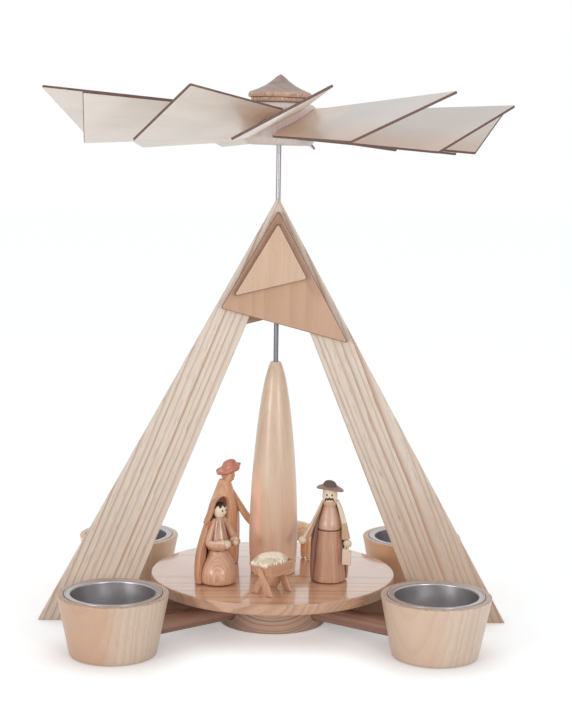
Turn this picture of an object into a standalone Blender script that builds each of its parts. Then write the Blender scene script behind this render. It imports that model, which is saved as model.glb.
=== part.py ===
"""A wooden candle carousel: the warm air of four tea lights turns a wheel of slanted vanes.

Metres, +Z up. The origin is on the ground, on the spindle's axis, and the viewer stands at -Y.
The base stands still, the rotor turns on the thrust bearing, and the wheel lifts off its tip.
"""

import math

import bmesh
import bpy
from mathutils import Matrix, Vector

mm = 0.001

# Clearances, cutters and facets
gap = 0.3 * mm
running_clearance = 0.1 * mm
overrun = 2.0 * mm
weld = 0.01 * mm
sharp_angle = math.radians(35)
wide_steps = 56
round_steps = 32
small_steps = 20
rod_steps = 12
ball_steps = 16

# Turntable on its foot block
disc_radius = 27.4 * mm
disc_height = 16.0 * mm
disc_edge = 0.8 * mm
table_radius = 61.6 * mm
table_thickness = 5.3 * mm
table_edge = 0.6 * mm
table_lift = 3.7 * mm
table_top = disc_height + table_lift + table_thickness

# Frame of two tapered planks, clear of the turntable
plank_thickness = 10.0 * mm
foot_width = 42.0 * mm
foot_clearance = 14.6 * mm
inner_half_span = table_radius + foot_clearance
foot_half_span = inner_half_span + foot_width
frame_height = 213.8 * mm
mitre_height = 25.6 * mm
inner_height = frame_height - mitre_height

# Boards over the mitre: their peaks below the frame's, and their corners from the peaks
plate_thickness = 3.0 * mm
plate_drop = 6.2 * mm
plate_short_corner = (-27.6 * mm, -48.2 * mm)
plate_long_corner = (35.5 * mm, -64.8 * mm)
panel_thickness = 2.6 * mm
panel_drop = 12.0 * mm
panel_low_corner = (-21.4 * mm, -36.2 * mm)
panel_high_corner = (14.8 * mm, -27.3 * mm)
rear_rise = 1.9 * mm

# Candle cups and their metal inserts
insert_inner_radius = 20.0 * mm
insert_wall = 0.5 * mm
insert_depth = 13.6 * mm
insert_corner = 1.5 * mm
flange_width = 3.1 * mm
flange_radius = insert_inner_radius + flange_width
flange_thickness = 0.6 * mm
cup_rim_width = 3.4 * mm
cup_taper = 5.7 * mm
cup_top_radius = flange_radius + cup_rim_width
cup_bottom_radius = cup_top_radius - cup_taper
cup_base = 16.0 * mm
cup_height = cup_base + insert_depth
cup_foot_edge = 1.9 * mm
cup_rim_edge = 0.7 * mm
cup_clearance = 7.9 * mm
cup_azimuth = math.radians(37.25)
cup_reach = table_radius + cup_clearance + cup_top_radius
cup_across = cup_reach * math.cos(cup_azimuth)
cup_along = cup_reach * math.sin(cup_azimuth)

# Rails and arms, from the foot block to the planks and the cups
rail_rise = 1.0 * mm
rail_height = disc_height - rail_rise
rail_tenon = 6.0 * mm
arm_radius = 4.4 * mm
arm_cover = 1.8 * mm
arm_seat = 9.0 * mm
arm_cup_seat = 4.0 * mm
arm_height = cup_base - insert_wall - gap - arm_cover - arm_radius

# Spindle and its two bearings
spindle_radius = 1.2 * mm
spindle_point = 2.0 * mm
bush_radius = 2.6 * mm
bush_length = 10.0 * mm
bush_recess = 1.0 * mm
bearing_radius = 4.5 * mm
bearing_height = 5.0 * mm
dimple_radius = 2.3 * mm
dimple_depth = 2.5 * mm

# Column, from the turntable to below the boards
column_radius = 11.65 * mm
column_drop = 55.9 * mm
column_top = inner_height - column_drop
column_stations = 12

# Vane wheel, a little out of true on its spindle
wheel_clearance = 36.65 * mm
wheel_height = frame_height + wheel_clearance
wheel_lean_sideways = math.radians(1.0)
wheel_lean_forward = math.radians(-1.5)
vane_count = 12
vane_pitch = math.radians(28.4)
vane_first = math.radians(-90.2)
vane_thickness = 1.4 * mm
vane_width = 48.6 * mm
vane_long_reach = 113.4 * mm
vane_short_reach = 93.9 * mm
vane_low_root = 17.8 * mm
vane_low_root_across = 16.8 * mm
vane_high_root = 8.0 * mm
vane_high_root_across = 10.6 * mm
hub_radius = 18.1 * mm
hub_cover = 3.25 * mm
hub_floor = 2.6 * mm
hub_rise = vane_high_root_across * math.sin(vane_pitch) + vane_thickness / 2 + hub_cover
hub_drop = vane_low_root_across * math.sin(vane_pitch) + vane_thickness / 2 + hub_floor
hub_height = hub_drop + hub_rise
cap_radius = 15.7 * mm
cap_height = 13.7 * mm

# How far each vane sits out of true, in degrees: round the wheel, in pitch and in droop
vane_trims = (
    (-0.7, 0.3, -0.5),
    (0.6, 0.3, -0.7),
    (0.6, 0.4, 1.0),
    (-0.4, -0.8, 0.8),
    (1.3, 0.4, 0.6),
    (0.8, 0.0, -0.2),
    (-0.2, 0.0, 0.0),
    (0.0, 0.0, 0.0),
    (-0.3, 0.4, 1.1),
    (0.3, -0.7, -0.6),
    (-1.0, -1.3, 1.4),
    (-1.0, 0.8, 0.2),
)

# Shapes as shares of a piece's own radius and height, from the top down its outer side
hub_shares = ((0.76, 1.0), (0.9, 0.965), (1.0, 0.897), (0.972, 0.128), (0.878, 0.0), (0.0, 0.0))
cap_shares = (
    (0.0, 1.0),
    (0.18, 0.89),
    (0.33, 0.75),
    (0.63, 0.54),
    (0.95, 0.36),
    (1.0, 0.26),
    (0.975, 0.16),
    (0.83, 0.15),
    (0.9, 0.13),
    (0.866, 0.0),
    (0.0, 0.0),
)
column_reach_share = 1.02
column_power_share = 0.48
column_waist_share = 0.1
column_waist_height_share = 0.2

# Kneeling figure, in front at the left
mary_across = -27.5 * mm
mary_along = -22.4 * mm
mary_turn = math.radians(45)
mary_skirt_radius = 9.2 * mm
mary_skirt_height = 16.4 * mm
mary_bodice_radius = 4.8 * mm
mary_bodice_height = 14.8 * mm
mary_sleeve_radius = 1.7 * mm
mary_hand_radius = 2.1 * mm
mary_head_radius = 3.5 * mm
mary_cloak_radius = 11.4 * mm
mary_cloak_height = 41.6 * mm
mary_cloak_thickness = 0.8 * mm
mary_cloak_sweep = math.radians(216)
mary_skirt_shares = (
    (0.0, 1.0),
    (0.56, 1.0),
    (0.66, 0.9),
    (0.86, 0.66),
    (1.0, 0.36),
    (0.98, 0.14),
    (0.9, 0.0),
    (0.0, 0.0),
)
mary_bodice_shares = (
    (0.0, 1.0),
    (0.46, 1.0),
    (0.72, 0.9),
    (0.86, 0.6),
    (1.0, 0.12),
    (0.95, 0.0),
    (0.0, 0.0),
)
mary_cloak_shares = (
    (0.0, 1.0),
    (0.2, 0.985),
    (0.36, 0.94),
    (0.45, 0.86),
    (0.5, 0.77),
    (0.64, 0.7),
    (0.8, 0.58),
    (0.92, 0.4),
    (1.0, 0.19),
    (1.0, 0.0),
)
mary_arm_shares = (
    (-1.06, -0.82, 0.62),
    (-1.42, -0.92, 0.3),
    (0.0, -1.86, 0.2),
    (1.42, -0.92, 0.3),
    (1.06, -0.82, 0.62),
)

# Standing figure, at the right
joseph_across = 27.4 * mm
joseph_along = -16.3 * mm
joseph_turn = math.radians(-7)
joseph_robe_radius = 8.2 * mm
joseph_robe_height = 26.0 * mm
joseph_jacket_radius = 6.3 * mm
joseph_jacket_height = 10.3 * mm
joseph_head_radius = 3.6 * mm
joseph_head_height = 7.6 * mm
joseph_hat_radius = 6.7 * mm
joseph_hat_height = 4.7 * mm
joseph_hat_tilt = math.radians(8)
joseph_sleeve_radius = 1.9 * mm
joseph_hand_radius = 2.2 * mm
joseph_cloak_radius = 9.6 * mm
joseph_cloak_height = 35.5 * mm
joseph_cloak_thickness = 0.8 * mm
joseph_cloak_sweep = math.radians(120)
bag_width = 5.0 * mm
bag_depth = 3.6 * mm
bag_height = 7.4 * mm
joseph_robe_shares = ((0.0, 1.0), (0.73, 1.0), (0.97, 0.15), (1.0, 0.06), (0.97, 0.0), (0.0, 0.0))
joseph_jacket_shares = ((0.0, 1.0), (0.5, 1.0), (0.74, 0.55), (1.0, 0.14), (0.93, 0.0), (0.0, 0.0))
joseph_head_shares = (
    (0.0, 1.0),
    (0.82, 1.0),
    (0.98, 0.8),
    (1.0, 0.4),
    (0.8, 0.08),
    (0.6, 0.0),
    (0.0, 0.0),
)
joseph_hat_shares = (
    (0.0, 1.0),
    (0.3, 0.93),
    (0.48, 0.7),
    (0.55, 0.3),
    (1.0, 0.14),
    (1.0, 0.0),
    (0.0, 0.0),
)
joseph_cloak_shares = ((0.52, 1.0), (0.8, 0.84), (0.88, 0.7), (0.93, 0.4), (1.0, 0.0))
joseph_left_arm_shares = ((-1.0, 0.0, 0.72), (-1.42, 0.0, 0.14), (-1.84, 0.0, -0.5))
joseph_right_arm_shares = ((1.0, 0.0, 0.72), (1.42, -0.1, 0.14), (1.48, -0.64, -0.58))
bag_shares = (1.44, -1.04)

# Shepherd, standing behind at the left
shepherd_across = -25.0 * mm
shepherd_along = 17.0 * mm
shepherd_robe_radius = 7.7 * mm
shepherd_robe_height = 43.0 * mm
shepherd_head_radius = 3.1 * mm
shepherd_hat_radius = 6.0 * mm
shepherd_hat_height = 4.4 * mm
shepherd_hat_tilt = math.radians(-14)
shepherd_sleeve_radius = 2.3 * mm
shepherd_robe_shares = (
    (0.0, 1.0),
    (0.34, 1.0),
    (0.5, 0.94),
    (0.8, 0.8),
    (0.93, 0.6),
    (1.0, 0.36),
    (1.0, 0.05),
    (0.96, 0.0),
    (0.0, 0.0),
)
shepherd_hat_shares = (
    (0.0, 1.0),
    (0.35, 0.92),
    (0.6, 0.66),
    (0.95, 0.42),
    (1.0, 0.2),
    (0.8, 0.0),
    (0.0, 0.0),
)
shepherd_arm_shares = ((1.19, 0.06, 0.75), (1.6, 0.24, 0.62), (2.02, 0.42, 0.5))

# Sheep, standing behind at the right
sheep_across = 13.5 * mm
sheep_along = 26.0 * mm
sheep_turn = math.radians(-12)
sheep_length = 18.0 * mm
sheep_width = 9.4 * mm
sheep_height = 19.6 * mm
sheep_body_height = 10.4 * mm
sheep_leg_radius = 1.15 * mm
sheep_head_radius = 2.9 * mm
sheep_leg_shares = ((-0.28, -0.24), (-0.28, 0.24), (0.28, -0.24), (0.28, 0.24))
sheep_head_shares = (0.52, 0.0, 0.86)

# Manger, at the front
manger_across = -1.1 * mm
manger_along = -37.8 * mm
manger_turn = math.radians(50)
manger_length = 19.2 * mm
manger_width = 13.4 * mm
manger_height = 15.0 * mm
trough_height = 5.8 * mm
manger_leg_width = 3.0 * mm
manger_leg_thickness = 1.8 * mm
manger_leg_span = 11.0 * mm
manger_leg_inset = 1.6 * mm
straw_height = 4.4 * mm
straw_stations = 6
trough_floor_share = 0.72
straw_share = 0.9

# Finishes as red, green and blue shares
ash_share = (0.70, 0.56, 0.43)
maple_share = (0.64, 0.46, 0.31)
alder_share = (0.60, 0.38, 0.24)
cherry_share = (0.42, 0.21, 0.11)
ply_share = (0.66, 0.56, 0.47)
steel_share = (0.55, 0.55, 0.56)
brass_share = (0.72, 0.52, 0.2)
cream_share = (0.78, 0.70, 0.55)
felt_share = (0.12, 0.07, 0.06)
red_share = (0.5, 0.17, 0.12)
wool_share = (0.72, 0.5, 0.28)


def clear_scene():
    for obj in list(bpy.data.objects):
        bpy.data.objects.remove(obj)


def add_collection(name):
    collection = bpy.data.collections.new(name)
    bpy.context.scene.collection.children.link(collection)
    return collection


def add_material(name, colour, roughness, metallic=0.0):
    material = bpy.data.materials.new(name)
    material.use_nodes = True
    shader = material.node_tree.nodes["Principled BSDF"]
    shader.inputs["Base Color"].default_value = (*colour, 1.0)
    shader.inputs["Roughness"].default_value = roughness
    shader.inputs["Metallic"].default_value = metallic
    return material


clear_scene()
parts = add_collection("candle_carousel")
cutters = add_collection("cutters")
ash = add_material("ash", ash_share, 0.5)
maple = add_material("maple", maple_share, 0.45)
alder = add_material("alder", alder_share, 0.4)
cherry = add_material("cherry", cherry_share, 0.4)
ply = add_material("birch_ply", ply_share, 0.6)
steel = add_material("steel", steel_share, 0.25, 1.0)
brass = add_material("brass", brass_share, 0.3, 1.0)
cream = add_material("cream_paint", cream_share, 0.45)
felt = add_material("dark_paint", felt_share, 0.5)
red = add_material("red_stain", red_share, 0.5)
wool = add_material("wool", wool_share, 0.9)


def add_empty(name, location, rotation=(0.0, 0.0, 0.0), parent=None):
    empty = bpy.data.objects.new(name, None)
    empty.location = location
    empty.rotation_euler = rotation
    empty.parent = parent
    parts.objects.link(empty)
    return empty


def add_object(name, data, finish, location=(0.0, 0.0, 0.0), rotation=(0.0, 0.0, 0.0), parent=None):
    """Link a part, or a cutter where it has no finish."""
    obj = bpy.data.objects.new(name, data)
    obj.location = location
    obj.rotation_euler = rotation
    obj.parent = parent
    if finish is None:
        cutters.objects.link(obj)
        obj.hide_render = True
        obj.display_type = "WIRE"
    else:
        parts.objects.link(obj)
        data.materials.append(finish)
    return obj


def settle(obj):
    """Swap an object for a mesh object of the same name and place, welded and with smooth round faces."""
    bpy.context.view_layer.update()
    evaluated = obj.evaluated_get(bpy.context.evaluated_depsgraph_get())
    mesh = bpy.data.meshes.new_from_object(evaluated)
    name = obj.name
    parent = obj.parent
    place = obj.matrix_world.copy()
    home = obj.users_collection[0]
    is_cutter = obj.hide_render
    bpy.data.objects.remove(obj)
    shape = bmesh.new()
    shape.from_mesh(mesh)
    bmesh.ops.remove_doubles(shape, verts=shape.verts, dist=weld)
    shape.to_mesh(mesh)
    shape.free()
    mesh.shade_smooth()
    mesh.set_sharp_from_angle(angle=sharp_angle)
    settled = bpy.data.objects.new(name, mesh)
    home.objects.link(settled)
    settled.parent = parent
    settled.matrix_world = place
    settled.hide_render = is_cutter
    settled.display_type = "WIRE" if is_cutter else "TEXTURED"
    return settled


def turned(name, profile, steps, finish, sweep=math.tau, is_ring=False, **place):
    """Turn a profile of radius and height about Z, listed from the top down its outer side."""
    mesh = bpy.data.meshes.new(name)
    edges = [(index, index + 1) for index in range(len(profile) - 1)]
    if is_ring:
        edges.append((len(profile) - 1, 0))
    mesh.from_pydata([(radius, 0.0, height) for radius, height in profile], edges, [])
    obj = add_object(name, mesh, finish, **place)
    screw = obj.modifiers.new("Turn", "SCREW")
    screw.axis = "Z"
    screw.angle = sweep
    screw.steps = steps
    screw.render_steps = steps
    screw.use_merge_vertices = True
    screw.merge_threshold = weld
    return settle(obj)


def board(name, outline, thickness, finish, **place):
    """A flat outline with its thickness centred on the outline's plane."""
    curve = bpy.data.curves.new(name, "CURVE")
    curve.dimensions = "2D"
    curve.fill_mode = "BOTH"
    curve.extrude = thickness / 2
    spline = curve.splines.new("POLY")
    spline.points.add(len(outline) - 1)
    for point, (across, up) in zip(spline.points, outline):
        point.co = (across, up, 0.0, 1.0)
    spline.use_cyclic_u = True
    return settle(add_object(name, curve, finish, **place))


def tube(name, route, radius, finish, **place):
    """A round bar along a route of points, with flat ends."""
    curve = bpy.data.curves.new(name, "CURVE")
    curve.dimensions = "3D"
    curve.bevel_depth = radius
    curve.bevel_resolution = 2
    curve.use_fill_caps = True
    spline = curve.splines.new("POLY")
    spline.points.add(len(route) - 1)
    for point, place_on_route in zip(spline.points, route):
        point.co = (*place_on_route, 1.0)
    return settle(add_object(name, curve, finish, **place))


def cylinder(name, start, end, radius, finish, parent=None):
    """A cylinder between two points."""
    start = Vector(start)
    end = Vector(end)
    mesh = bpy.data.meshes.new(name)
    shape = bmesh.new()
    bmesh.ops.create_cone(
        shape,
        cap_ends=True,
        segments=small_steps,
        radius1=radius,
        radius2=radius,
        depth=(end - start).length,
    )
    shape.to_mesh(mesh)
    shape.free()
    mesh.shade_smooth()
    mesh.set_sharp_from_angle(angle=sharp_angle)
    turn = (end - start).to_track_quat("Z", "Y").to_euler()
    return add_object(name, mesh, finish, location=(start + end) / 2, rotation=turn, parent=parent)


def ball(name, centre, radii, finish, steps=ball_steps, **place):
    """A sphere or an ellipsoid about a centre."""
    mesh = bpy.data.meshes.new(name)
    shape = bmesh.new()
    size = Matrix.Translation(centre) @ Matrix.Diagonal((*radii, 1.0))
    bmesh.ops.create_uvsphere(shape, u_segments=steps, v_segments=steps // 2, radius=1.0, matrix=size)
    shape.to_mesh(mesh)
    shape.free()
    mesh.shade_smooth()
    return add_object(name, mesh, finish, **place)


def box(name, centre, size, finish, **place):
    mesh = bpy.data.meshes.new(name)
    shape = bmesh.new()
    fit = Matrix.Translation(centre) @ Matrix.Diagonal((*size, 1.0))
    bmesh.ops.create_cube(shape, size=1.0, matrix=fit)
    shape.to_mesh(mesh)
    shape.free()
    return add_object(name, mesh, finish, **place)


def combine(target, tool, operation="DIFFERENCE"):
    modifier = target.modifiers.new(tool.name, "BOOLEAN")
    modifier.operation = operation
    modifier.solver = "EXACT"
    modifier.object = tool


def scaled(shares, radius, height, lift=0.0):
    """A profile in real sizes from shares of a radius and a height."""
    return [(across * radius, lift + up * height) for across, up in shares]


def spots(shares, radius, height, lift):
    """Route points from shares of a radius across and of a height above a lift."""
    return [(across * radius, along * radius, lift + up * height) for across, along, up in shares]


upright = (math.radians(90), 0.0, 0.0)


# Frame
def inner_edge_at(height):
    """How far from the axis a plank's inner edge is at a height."""
    return inner_half_span * (1 - height / inner_height)


def make_legs():
    mitre = gap / 2
    outline = (
        (inner_half_span, 0.0),
        (foot_half_span, 0.0),
        (mitre, frame_height * (1 - mitre / foot_half_span)),
        (mitre, inner_height * (1 - mitre / inner_half_span)),
    )
    bore = cylinder(
        "spindle_bore",
        (0.0, 0.0, inner_height - bush_length),
        (0.0, 0.0, frame_height + overrun),
        spindle_radius + gap,
        None,
    )
    pocket = cylinder(
        "bush_pocket",
        (0.0, 0.0, inner_height - bush_length),
        (0.0, 0.0, bush_top() + gap),
        bush_radius + gap,
        None,
    )
    for side, name in ((-1, "leg_left"), (1, "leg_right")):
        sided = [(side * across, up) for across, up in outline]
        leg = board(name, sided, plank_thickness, ash, rotation=upright)
        combine(leg, bore)
        combine(leg, pocket)


def make_boards():
    """The large and the small triangle, in front and turned half round behind."""
    plate = ((0.0, 0.0), plate_short_corner, plate_long_corner)
    panel = ((0.0, 0.0), panel_low_corner, panel_high_corner)
    plate_place = plank_thickness / 2 + gap + plate_thickness / 2
    panel_place = plate_place + plate_thickness / 2 + gap + panel_thickness / 2
    for where, turn, rise in (("front", 0.0, 0.0), ("rear", math.pi, rear_rise)):
        side = -math.cos(turn)
        facing = (upright[0], 0.0, turn)
        for name, outline, thickness, finish, distance, drop in (
            ("_plate", plate, plate_thickness, alder, plate_place, plate_drop),
            ("_panel", panel, panel_thickness, maple, panel_place, panel_drop),
        ):
            place = (0.0, side * distance, frame_height - drop + rise)
            board(where + name, outline, thickness, finish, location=place, rotation=facing)


def bush_top():
    return inner_height + bush_recess + bush_length


def make_bearings():
    bore = spindle_radius + running_clearance
    top = bush_top()
    bottom = inner_height + bush_recess
    turned(
        "spindle_bush",
        ((bore, top), (bush_radius, top), (bush_radius, bottom), (bore, bottom)),
        small_steps,
        brass,
        is_ring=True,
    )
    floor = disc_height - bearing_height
    turned(
        "thrust_bearing",
        (
            (0.0, disc_height - dimple_depth),
            (dimple_radius, disc_height),
            (bearing_radius, disc_height),
            (bearing_radius, floor),
            (0.0, floor),
        ),
        small_steps,
        brass,
    )


# Foot block, rails, arms and cups
def arm_direction(across, along):
    return Vector((across, along, 0.0)).normalized()


def arm_ends(across, along):
    """Where an arm starts in the block and ends in the cup."""
    direction = arm_direction(across, along)
    reach = math.hypot(cup_across, cup_along) - cup_radius_at(arm_height) + arm_cup_seat
    lift = Vector((0.0, 0.0, arm_height))
    return direction * (disc_radius - arm_seat) + lift, direction * reach + lift


def cup_radius_at(height):
    return cup_bottom_radius + (cup_top_radius - cup_bottom_radius) * height / cup_height


def make_disc():
    disc = turned(
        "base_disc",
        (
            (0.0, disc_height),
            (disc_radius - disc_edge, disc_height),
            (disc_radius, disc_height - disc_edge),
            (disc_radius, disc_edge),
            (disc_radius - disc_edge, 0.0),
            (0.0, 0.0),
        ),
        wide_steps,
        alder,
    )
    pocket = cylinder(
        "bearing_pocket",
        (0.0, 0.0, disc_height - bearing_height - gap),
        (0.0, 0.0, disc_height + overrun),
        bearing_radius + gap,
        None,
    )
    combine(disc, pocket)
    tenon_space = rail_tenon + gap + overrun
    mortise_top = rail_rise + rail_height + gap
    for side, name in ((-1, "mortise_left"), (1, "mortise_right")):
        middle = side * (disc_radius + overrun - tenon_space / 2)
        size = (tenon_space, plank_thickness + 2 * gap, mortise_top + overrun)
        combine(disc, box(name, (middle, 0.0, (mortise_top - overrun) / 2), size, None))
    return disc


def make_rails():
    start = disc_radius - rail_tenon
    top = rail_rise + rail_height
    for side, name in ((-1, "foot_rail_left"), (1, "foot_rail_right")):
        outline = (
            (side * start, rail_rise),
            (side * (inner_edge_at(rail_rise) - gap), rail_rise),
            (side * (inner_edge_at(top) - gap), top),
            (side * start, top),
        )
        board(name, outline, plank_thickness, ash, rotation=upright)


def insert_floor():
    return cup_height - insert_depth


def make_cup(name, across, along):
    flange_seat = cup_height - flange_thickness - gap
    pocket_radius = insert_inner_radius + insert_wall + gap
    pocket_floor = insert_floor() - insert_wall - gap
    recess_radius = flange_radius + gap
    return turned(
        name,
        (
            (0.0, pocket_floor),
            (pocket_radius, pocket_floor),
            (pocket_radius, flange_seat),
            (recess_radius, flange_seat),
            (recess_radius, cup_height),
            (cup_top_radius - cup_rim_edge, cup_height),
            (cup_top_radius, cup_height - cup_rim_edge),
            (cup_radius_at(cup_foot_edge), cup_foot_edge),
            (cup_bottom_radius - cup_foot_edge, 0.0),
            (0.0, 0.0),
        ),
        round_steps,
        maple,
        location=(across, along, 0.0),
    )


def make_insert(name, across, along):
    outer = insert_inner_radius + insert_wall
    floor = insert_floor()
    under_flange = cup_height - flange_thickness
    turned(
        name,
        (
            (0.0, floor),
            (insert_inner_radius - insert_corner, floor),
            (insert_inner_radius, floor + insert_corner),
            (insert_inner_radius, cup_height),
            (flange_radius, cup_height),
            (flange_radius, under_flange),
            (outer, under_flange),
            (outer, floor + insert_corner - insert_wall),
            (outer - insert_corner, floor - insert_wall),
            (0.0, floor - insert_wall),
        ),
        round_steps,
        steel,
        location=(across, along, 0.0),
    )


def make_base():
    disc = make_disc()
    make_rails()
    for along_name, along_side in (("front", -1), ("rear", 1)):
        for across_name, across_side in (("left", -1), ("right", 1)):
            where = along_name + "_" + across_name
            across = across_side * cup_across
            along = along_side * cup_along
            cup = make_cup("cup_" + where, across, along)
            make_insert("insert_" + where, across, along)
            start, end = arm_ends(across, along)
            cylinder("arm_" + where, start, end, arm_radius, alder)
            clear = arm_direction(across, along) * gap
            bore = cylinder("arm_bore_" + where, start - clear, end + clear, arm_radius + gap, None)
            combine(disc, bore)
            combine(cup, bore)


# Rotor
def column_profile():
    """A quarter ellipse drawn in a little at its foot, round a straight bore."""
    foot = table_top + gap
    height = column_top - foot
    bore = spindle_radius + gap
    profile = [(bore, column_top)]
    for station in range(column_stations, -1, -1):
        share = math.sin(math.pi / 2 * station / column_stations)
        radius = column_radius * (1 - (share / column_reach_share) ** 2) ** column_power_share
        if share < column_waist_height_share:
            radius *= 1 - column_waist_share * (1 - share / column_waist_height_share) ** 2
        profile.append((radius, foot + share * height))
    profile.append((bore, foot))
    return profile


def make_rotor(rotor):
    bore = spindle_radius + gap
    bottom = table_top - table_thickness
    turned(
        "turntable",
        (
            (bore, table_top),
            (table_radius - table_edge, table_top),
            (table_radius, table_top - table_edge),
            (table_radius, bottom + table_edge),
            (table_radius - table_edge, bottom),
            (bore, bottom),
        ),
        wide_steps,
        alder,
        is_ring=True,
        parent=rotor,
    )
    turned("column", column_profile(), round_steps, maple, is_ring=True, parent=rotor)
    tip = wheel_height - hub_drop + hub_height
    point = disc_height - dimple_depth + gap
    turned(
        "spindle",
        (
            (0.0, tip),
            (spindle_radius, tip - spindle_point),
            (spindle_radius, point + spindle_point),
            (0.0, point),
        ),
        rod_steps,
        steel,
        parent=rotor,
    )


# Wheel
def vane_outline(margin=0.0):
    """A vane seen square on: reach from the axis, and place across. The margin widens its root."""
    half = vane_width / 2
    return (
        (vane_long_reach, half),
        (vane_short_reach, -half),
        (vane_low_root - margin, -vane_low_root_across - margin),
        (vane_high_root - margin, vane_high_root_across + margin),
    )


def make_wheel(wheel):
    """Everything here leans with the wheel, except the bore that fits the upright spindle."""
    floor = -hub_drop
    hub = turned(
        "vane_hub",
        [(0.0, floor + hub_height)] + scaled(hub_shares, hub_radius, hub_height, floor),
        wide_steps,
        maple,
        parent=wheel,
    )
    bore_start = (0.0, 0.0, wheel_height - hub_height)
    bore_end = (0.0, 0.0, wheel_height + hub_height)
    combine(hub, cylinder("hub_bore", bore_start, bore_end, spindle_radius + running_clearance, None))
    seat = floor + hub_height + gap
    turned("hub_cap", scaled(cap_shares, cap_radius, cap_height, seat), round_steps, maple, parent=wheel)
    for number in range(vane_count):
        azimuth_trim, pitch_trim, droop = [math.radians(trim) for trim in vane_trims[number]]
        azimuth = vane_first + math.tau * number / vane_count + azimuth_trim
        rotation = (
            Matrix.Rotation(azimuth, 4, "Z")
            @ Matrix.Rotation(droop, 4, "Y")
            @ Matrix.Rotation(vane_pitch + pitch_trim, 4, "X")
        )
        turn = rotation.to_euler()
        name = "vane_%02d" % (number + 1)
        place = {"rotation": turn, "parent": wheel}
        board(name, vane_outline(), vane_thickness, ply, **place)
        combine(hub, board(name + "_slot", vane_outline(gap), vane_thickness + 2 * gap, None, **place))


# Figures
def on_table(name, across, along, turn, rotor):
    return add_empty(name, (across, along, table_top + gap), (0.0, 0.0, turn), rotor)


def cloak(name, shares, radius, height, thickness, sweep, finish, parent):
    """A shell round the back, open towards the front."""
    facing = (0.0, 0.0, math.pi / 2 - sweep / 2)
    profile = scaled(shares, radius, height)
    shell = turned(name, profile, small_steps, finish, sweep, rotation=facing, parent=parent)
    solidify = shell.modifiers.new("Thickness", "SOLIDIFY")
    solidify.thickness = thickness
    solidify.offset = -1.0
    solidify.use_even_offset = True


def make_mary(rotor):
    stand = on_table("mary_stand", mary_across, mary_along, mary_turn, rotor)
    bodice_floor = mary_skirt_height + gap
    head_floor = bodice_floor + mary_bodice_height + gap
    turned(
        "mary_skirt",
        scaled(mary_skirt_shares, mary_skirt_radius, mary_skirt_height),
        small_steps,
        alder,
        parent=stand,
    )
    turned(
        "mary_bodice",
        scaled(mary_bodice_shares, mary_bodice_radius, mary_bodice_height, bodice_floor),
        small_steps,
        maple,
        parent=stand,
    )
    route = spots(mary_arm_shares, mary_bodice_radius, mary_bodice_height, bodice_floor)
    arms = tube("mary_arms", route, mary_sleeve_radius, maple, parent=stand)
    hands = ball("mary_hands", route[2], [mary_hand_radius] * 3, None, rod_steps, parent=stand)
    combine(arms, hands, "UNION")
    ball(
        "mary_head",
        (0.0, 0.0, head_floor + mary_head_radius),
        [mary_head_radius] * 3,
        cream,
        parent=stand,
    )
    cloak(
        "mary_cloak",
        mary_cloak_shares,
        mary_cloak_radius,
        mary_cloak_height,
        mary_cloak_thickness,
        mary_cloak_sweep,
        cherry,
        stand,
    )


def make_joseph(rotor):
    stand = on_table("joseph_stand", joseph_across, joseph_along, joseph_turn, rotor)
    jacket_floor = joseph_robe_height + gap
    head_floor = jacket_floor + joseph_jacket_height + gap
    turned(
        "joseph_robe",
        scaled(joseph_robe_shares, joseph_robe_radius, joseph_robe_height),
        small_steps,
        alder,
        parent=stand,
    )
    turned(
        "joseph_jacket",
        scaled(joseph_jacket_shares, joseph_jacket_radius, joseph_jacket_height, jacket_floor),
        small_steps,
        maple,
        parent=stand,
    )
    turned(
        "joseph_head",
        scaled(joseph_head_shares, joseph_head_radius, joseph_head_height, head_floor),
        small_steps,
        cream,
        parent=stand,
    )
    tilt_room = joseph_head_radius * math.sin(joseph_hat_tilt)
    turned(
        "joseph_hat",
        scaled(joseph_hat_shares, joseph_hat_radius, joseph_hat_height),
        small_steps,
        felt,
        location=(0.0, 0.0, head_floor + joseph_head_height + gap + tilt_room),
        rotation=(0.0, joseph_hat_tilt, 0.0),
        parent=stand,
    )
    for side, shares in (("left", joseph_left_arm_shares), ("right", joseph_right_arm_shares)):
        route = spots(shares, joseph_jacket_radius, joseph_jacket_height, jacket_floor)
        arm = tube("joseph_arm_" + side, route, joseph_sleeve_radius, maple, parent=stand)
        hand_radii = [joseph_hand_radius] * 3
        hand = ball("joseph_hand_" + side, route[-1], hand_radii, None, rod_steps, parent=stand)
        combine(arm, hand, "UNION")
    across, along = [share * joseph_jacket_radius for share in bag_shares]
    bag_top = route[-1][2] - joseph_hand_radius - gap
    bag_size = (bag_width, bag_depth, bag_height)
    box("joseph_bag", (across, along, bag_top - bag_height / 2), bag_size, cream, parent=stand)
    cloak(
        "joseph_cloak",
        joseph_cloak_shares,
        joseph_cloak_radius,
        joseph_cloak_height,
        joseph_cloak_thickness,
        joseph_cloak_sweep,
        cherry,
        stand,
    )


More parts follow.
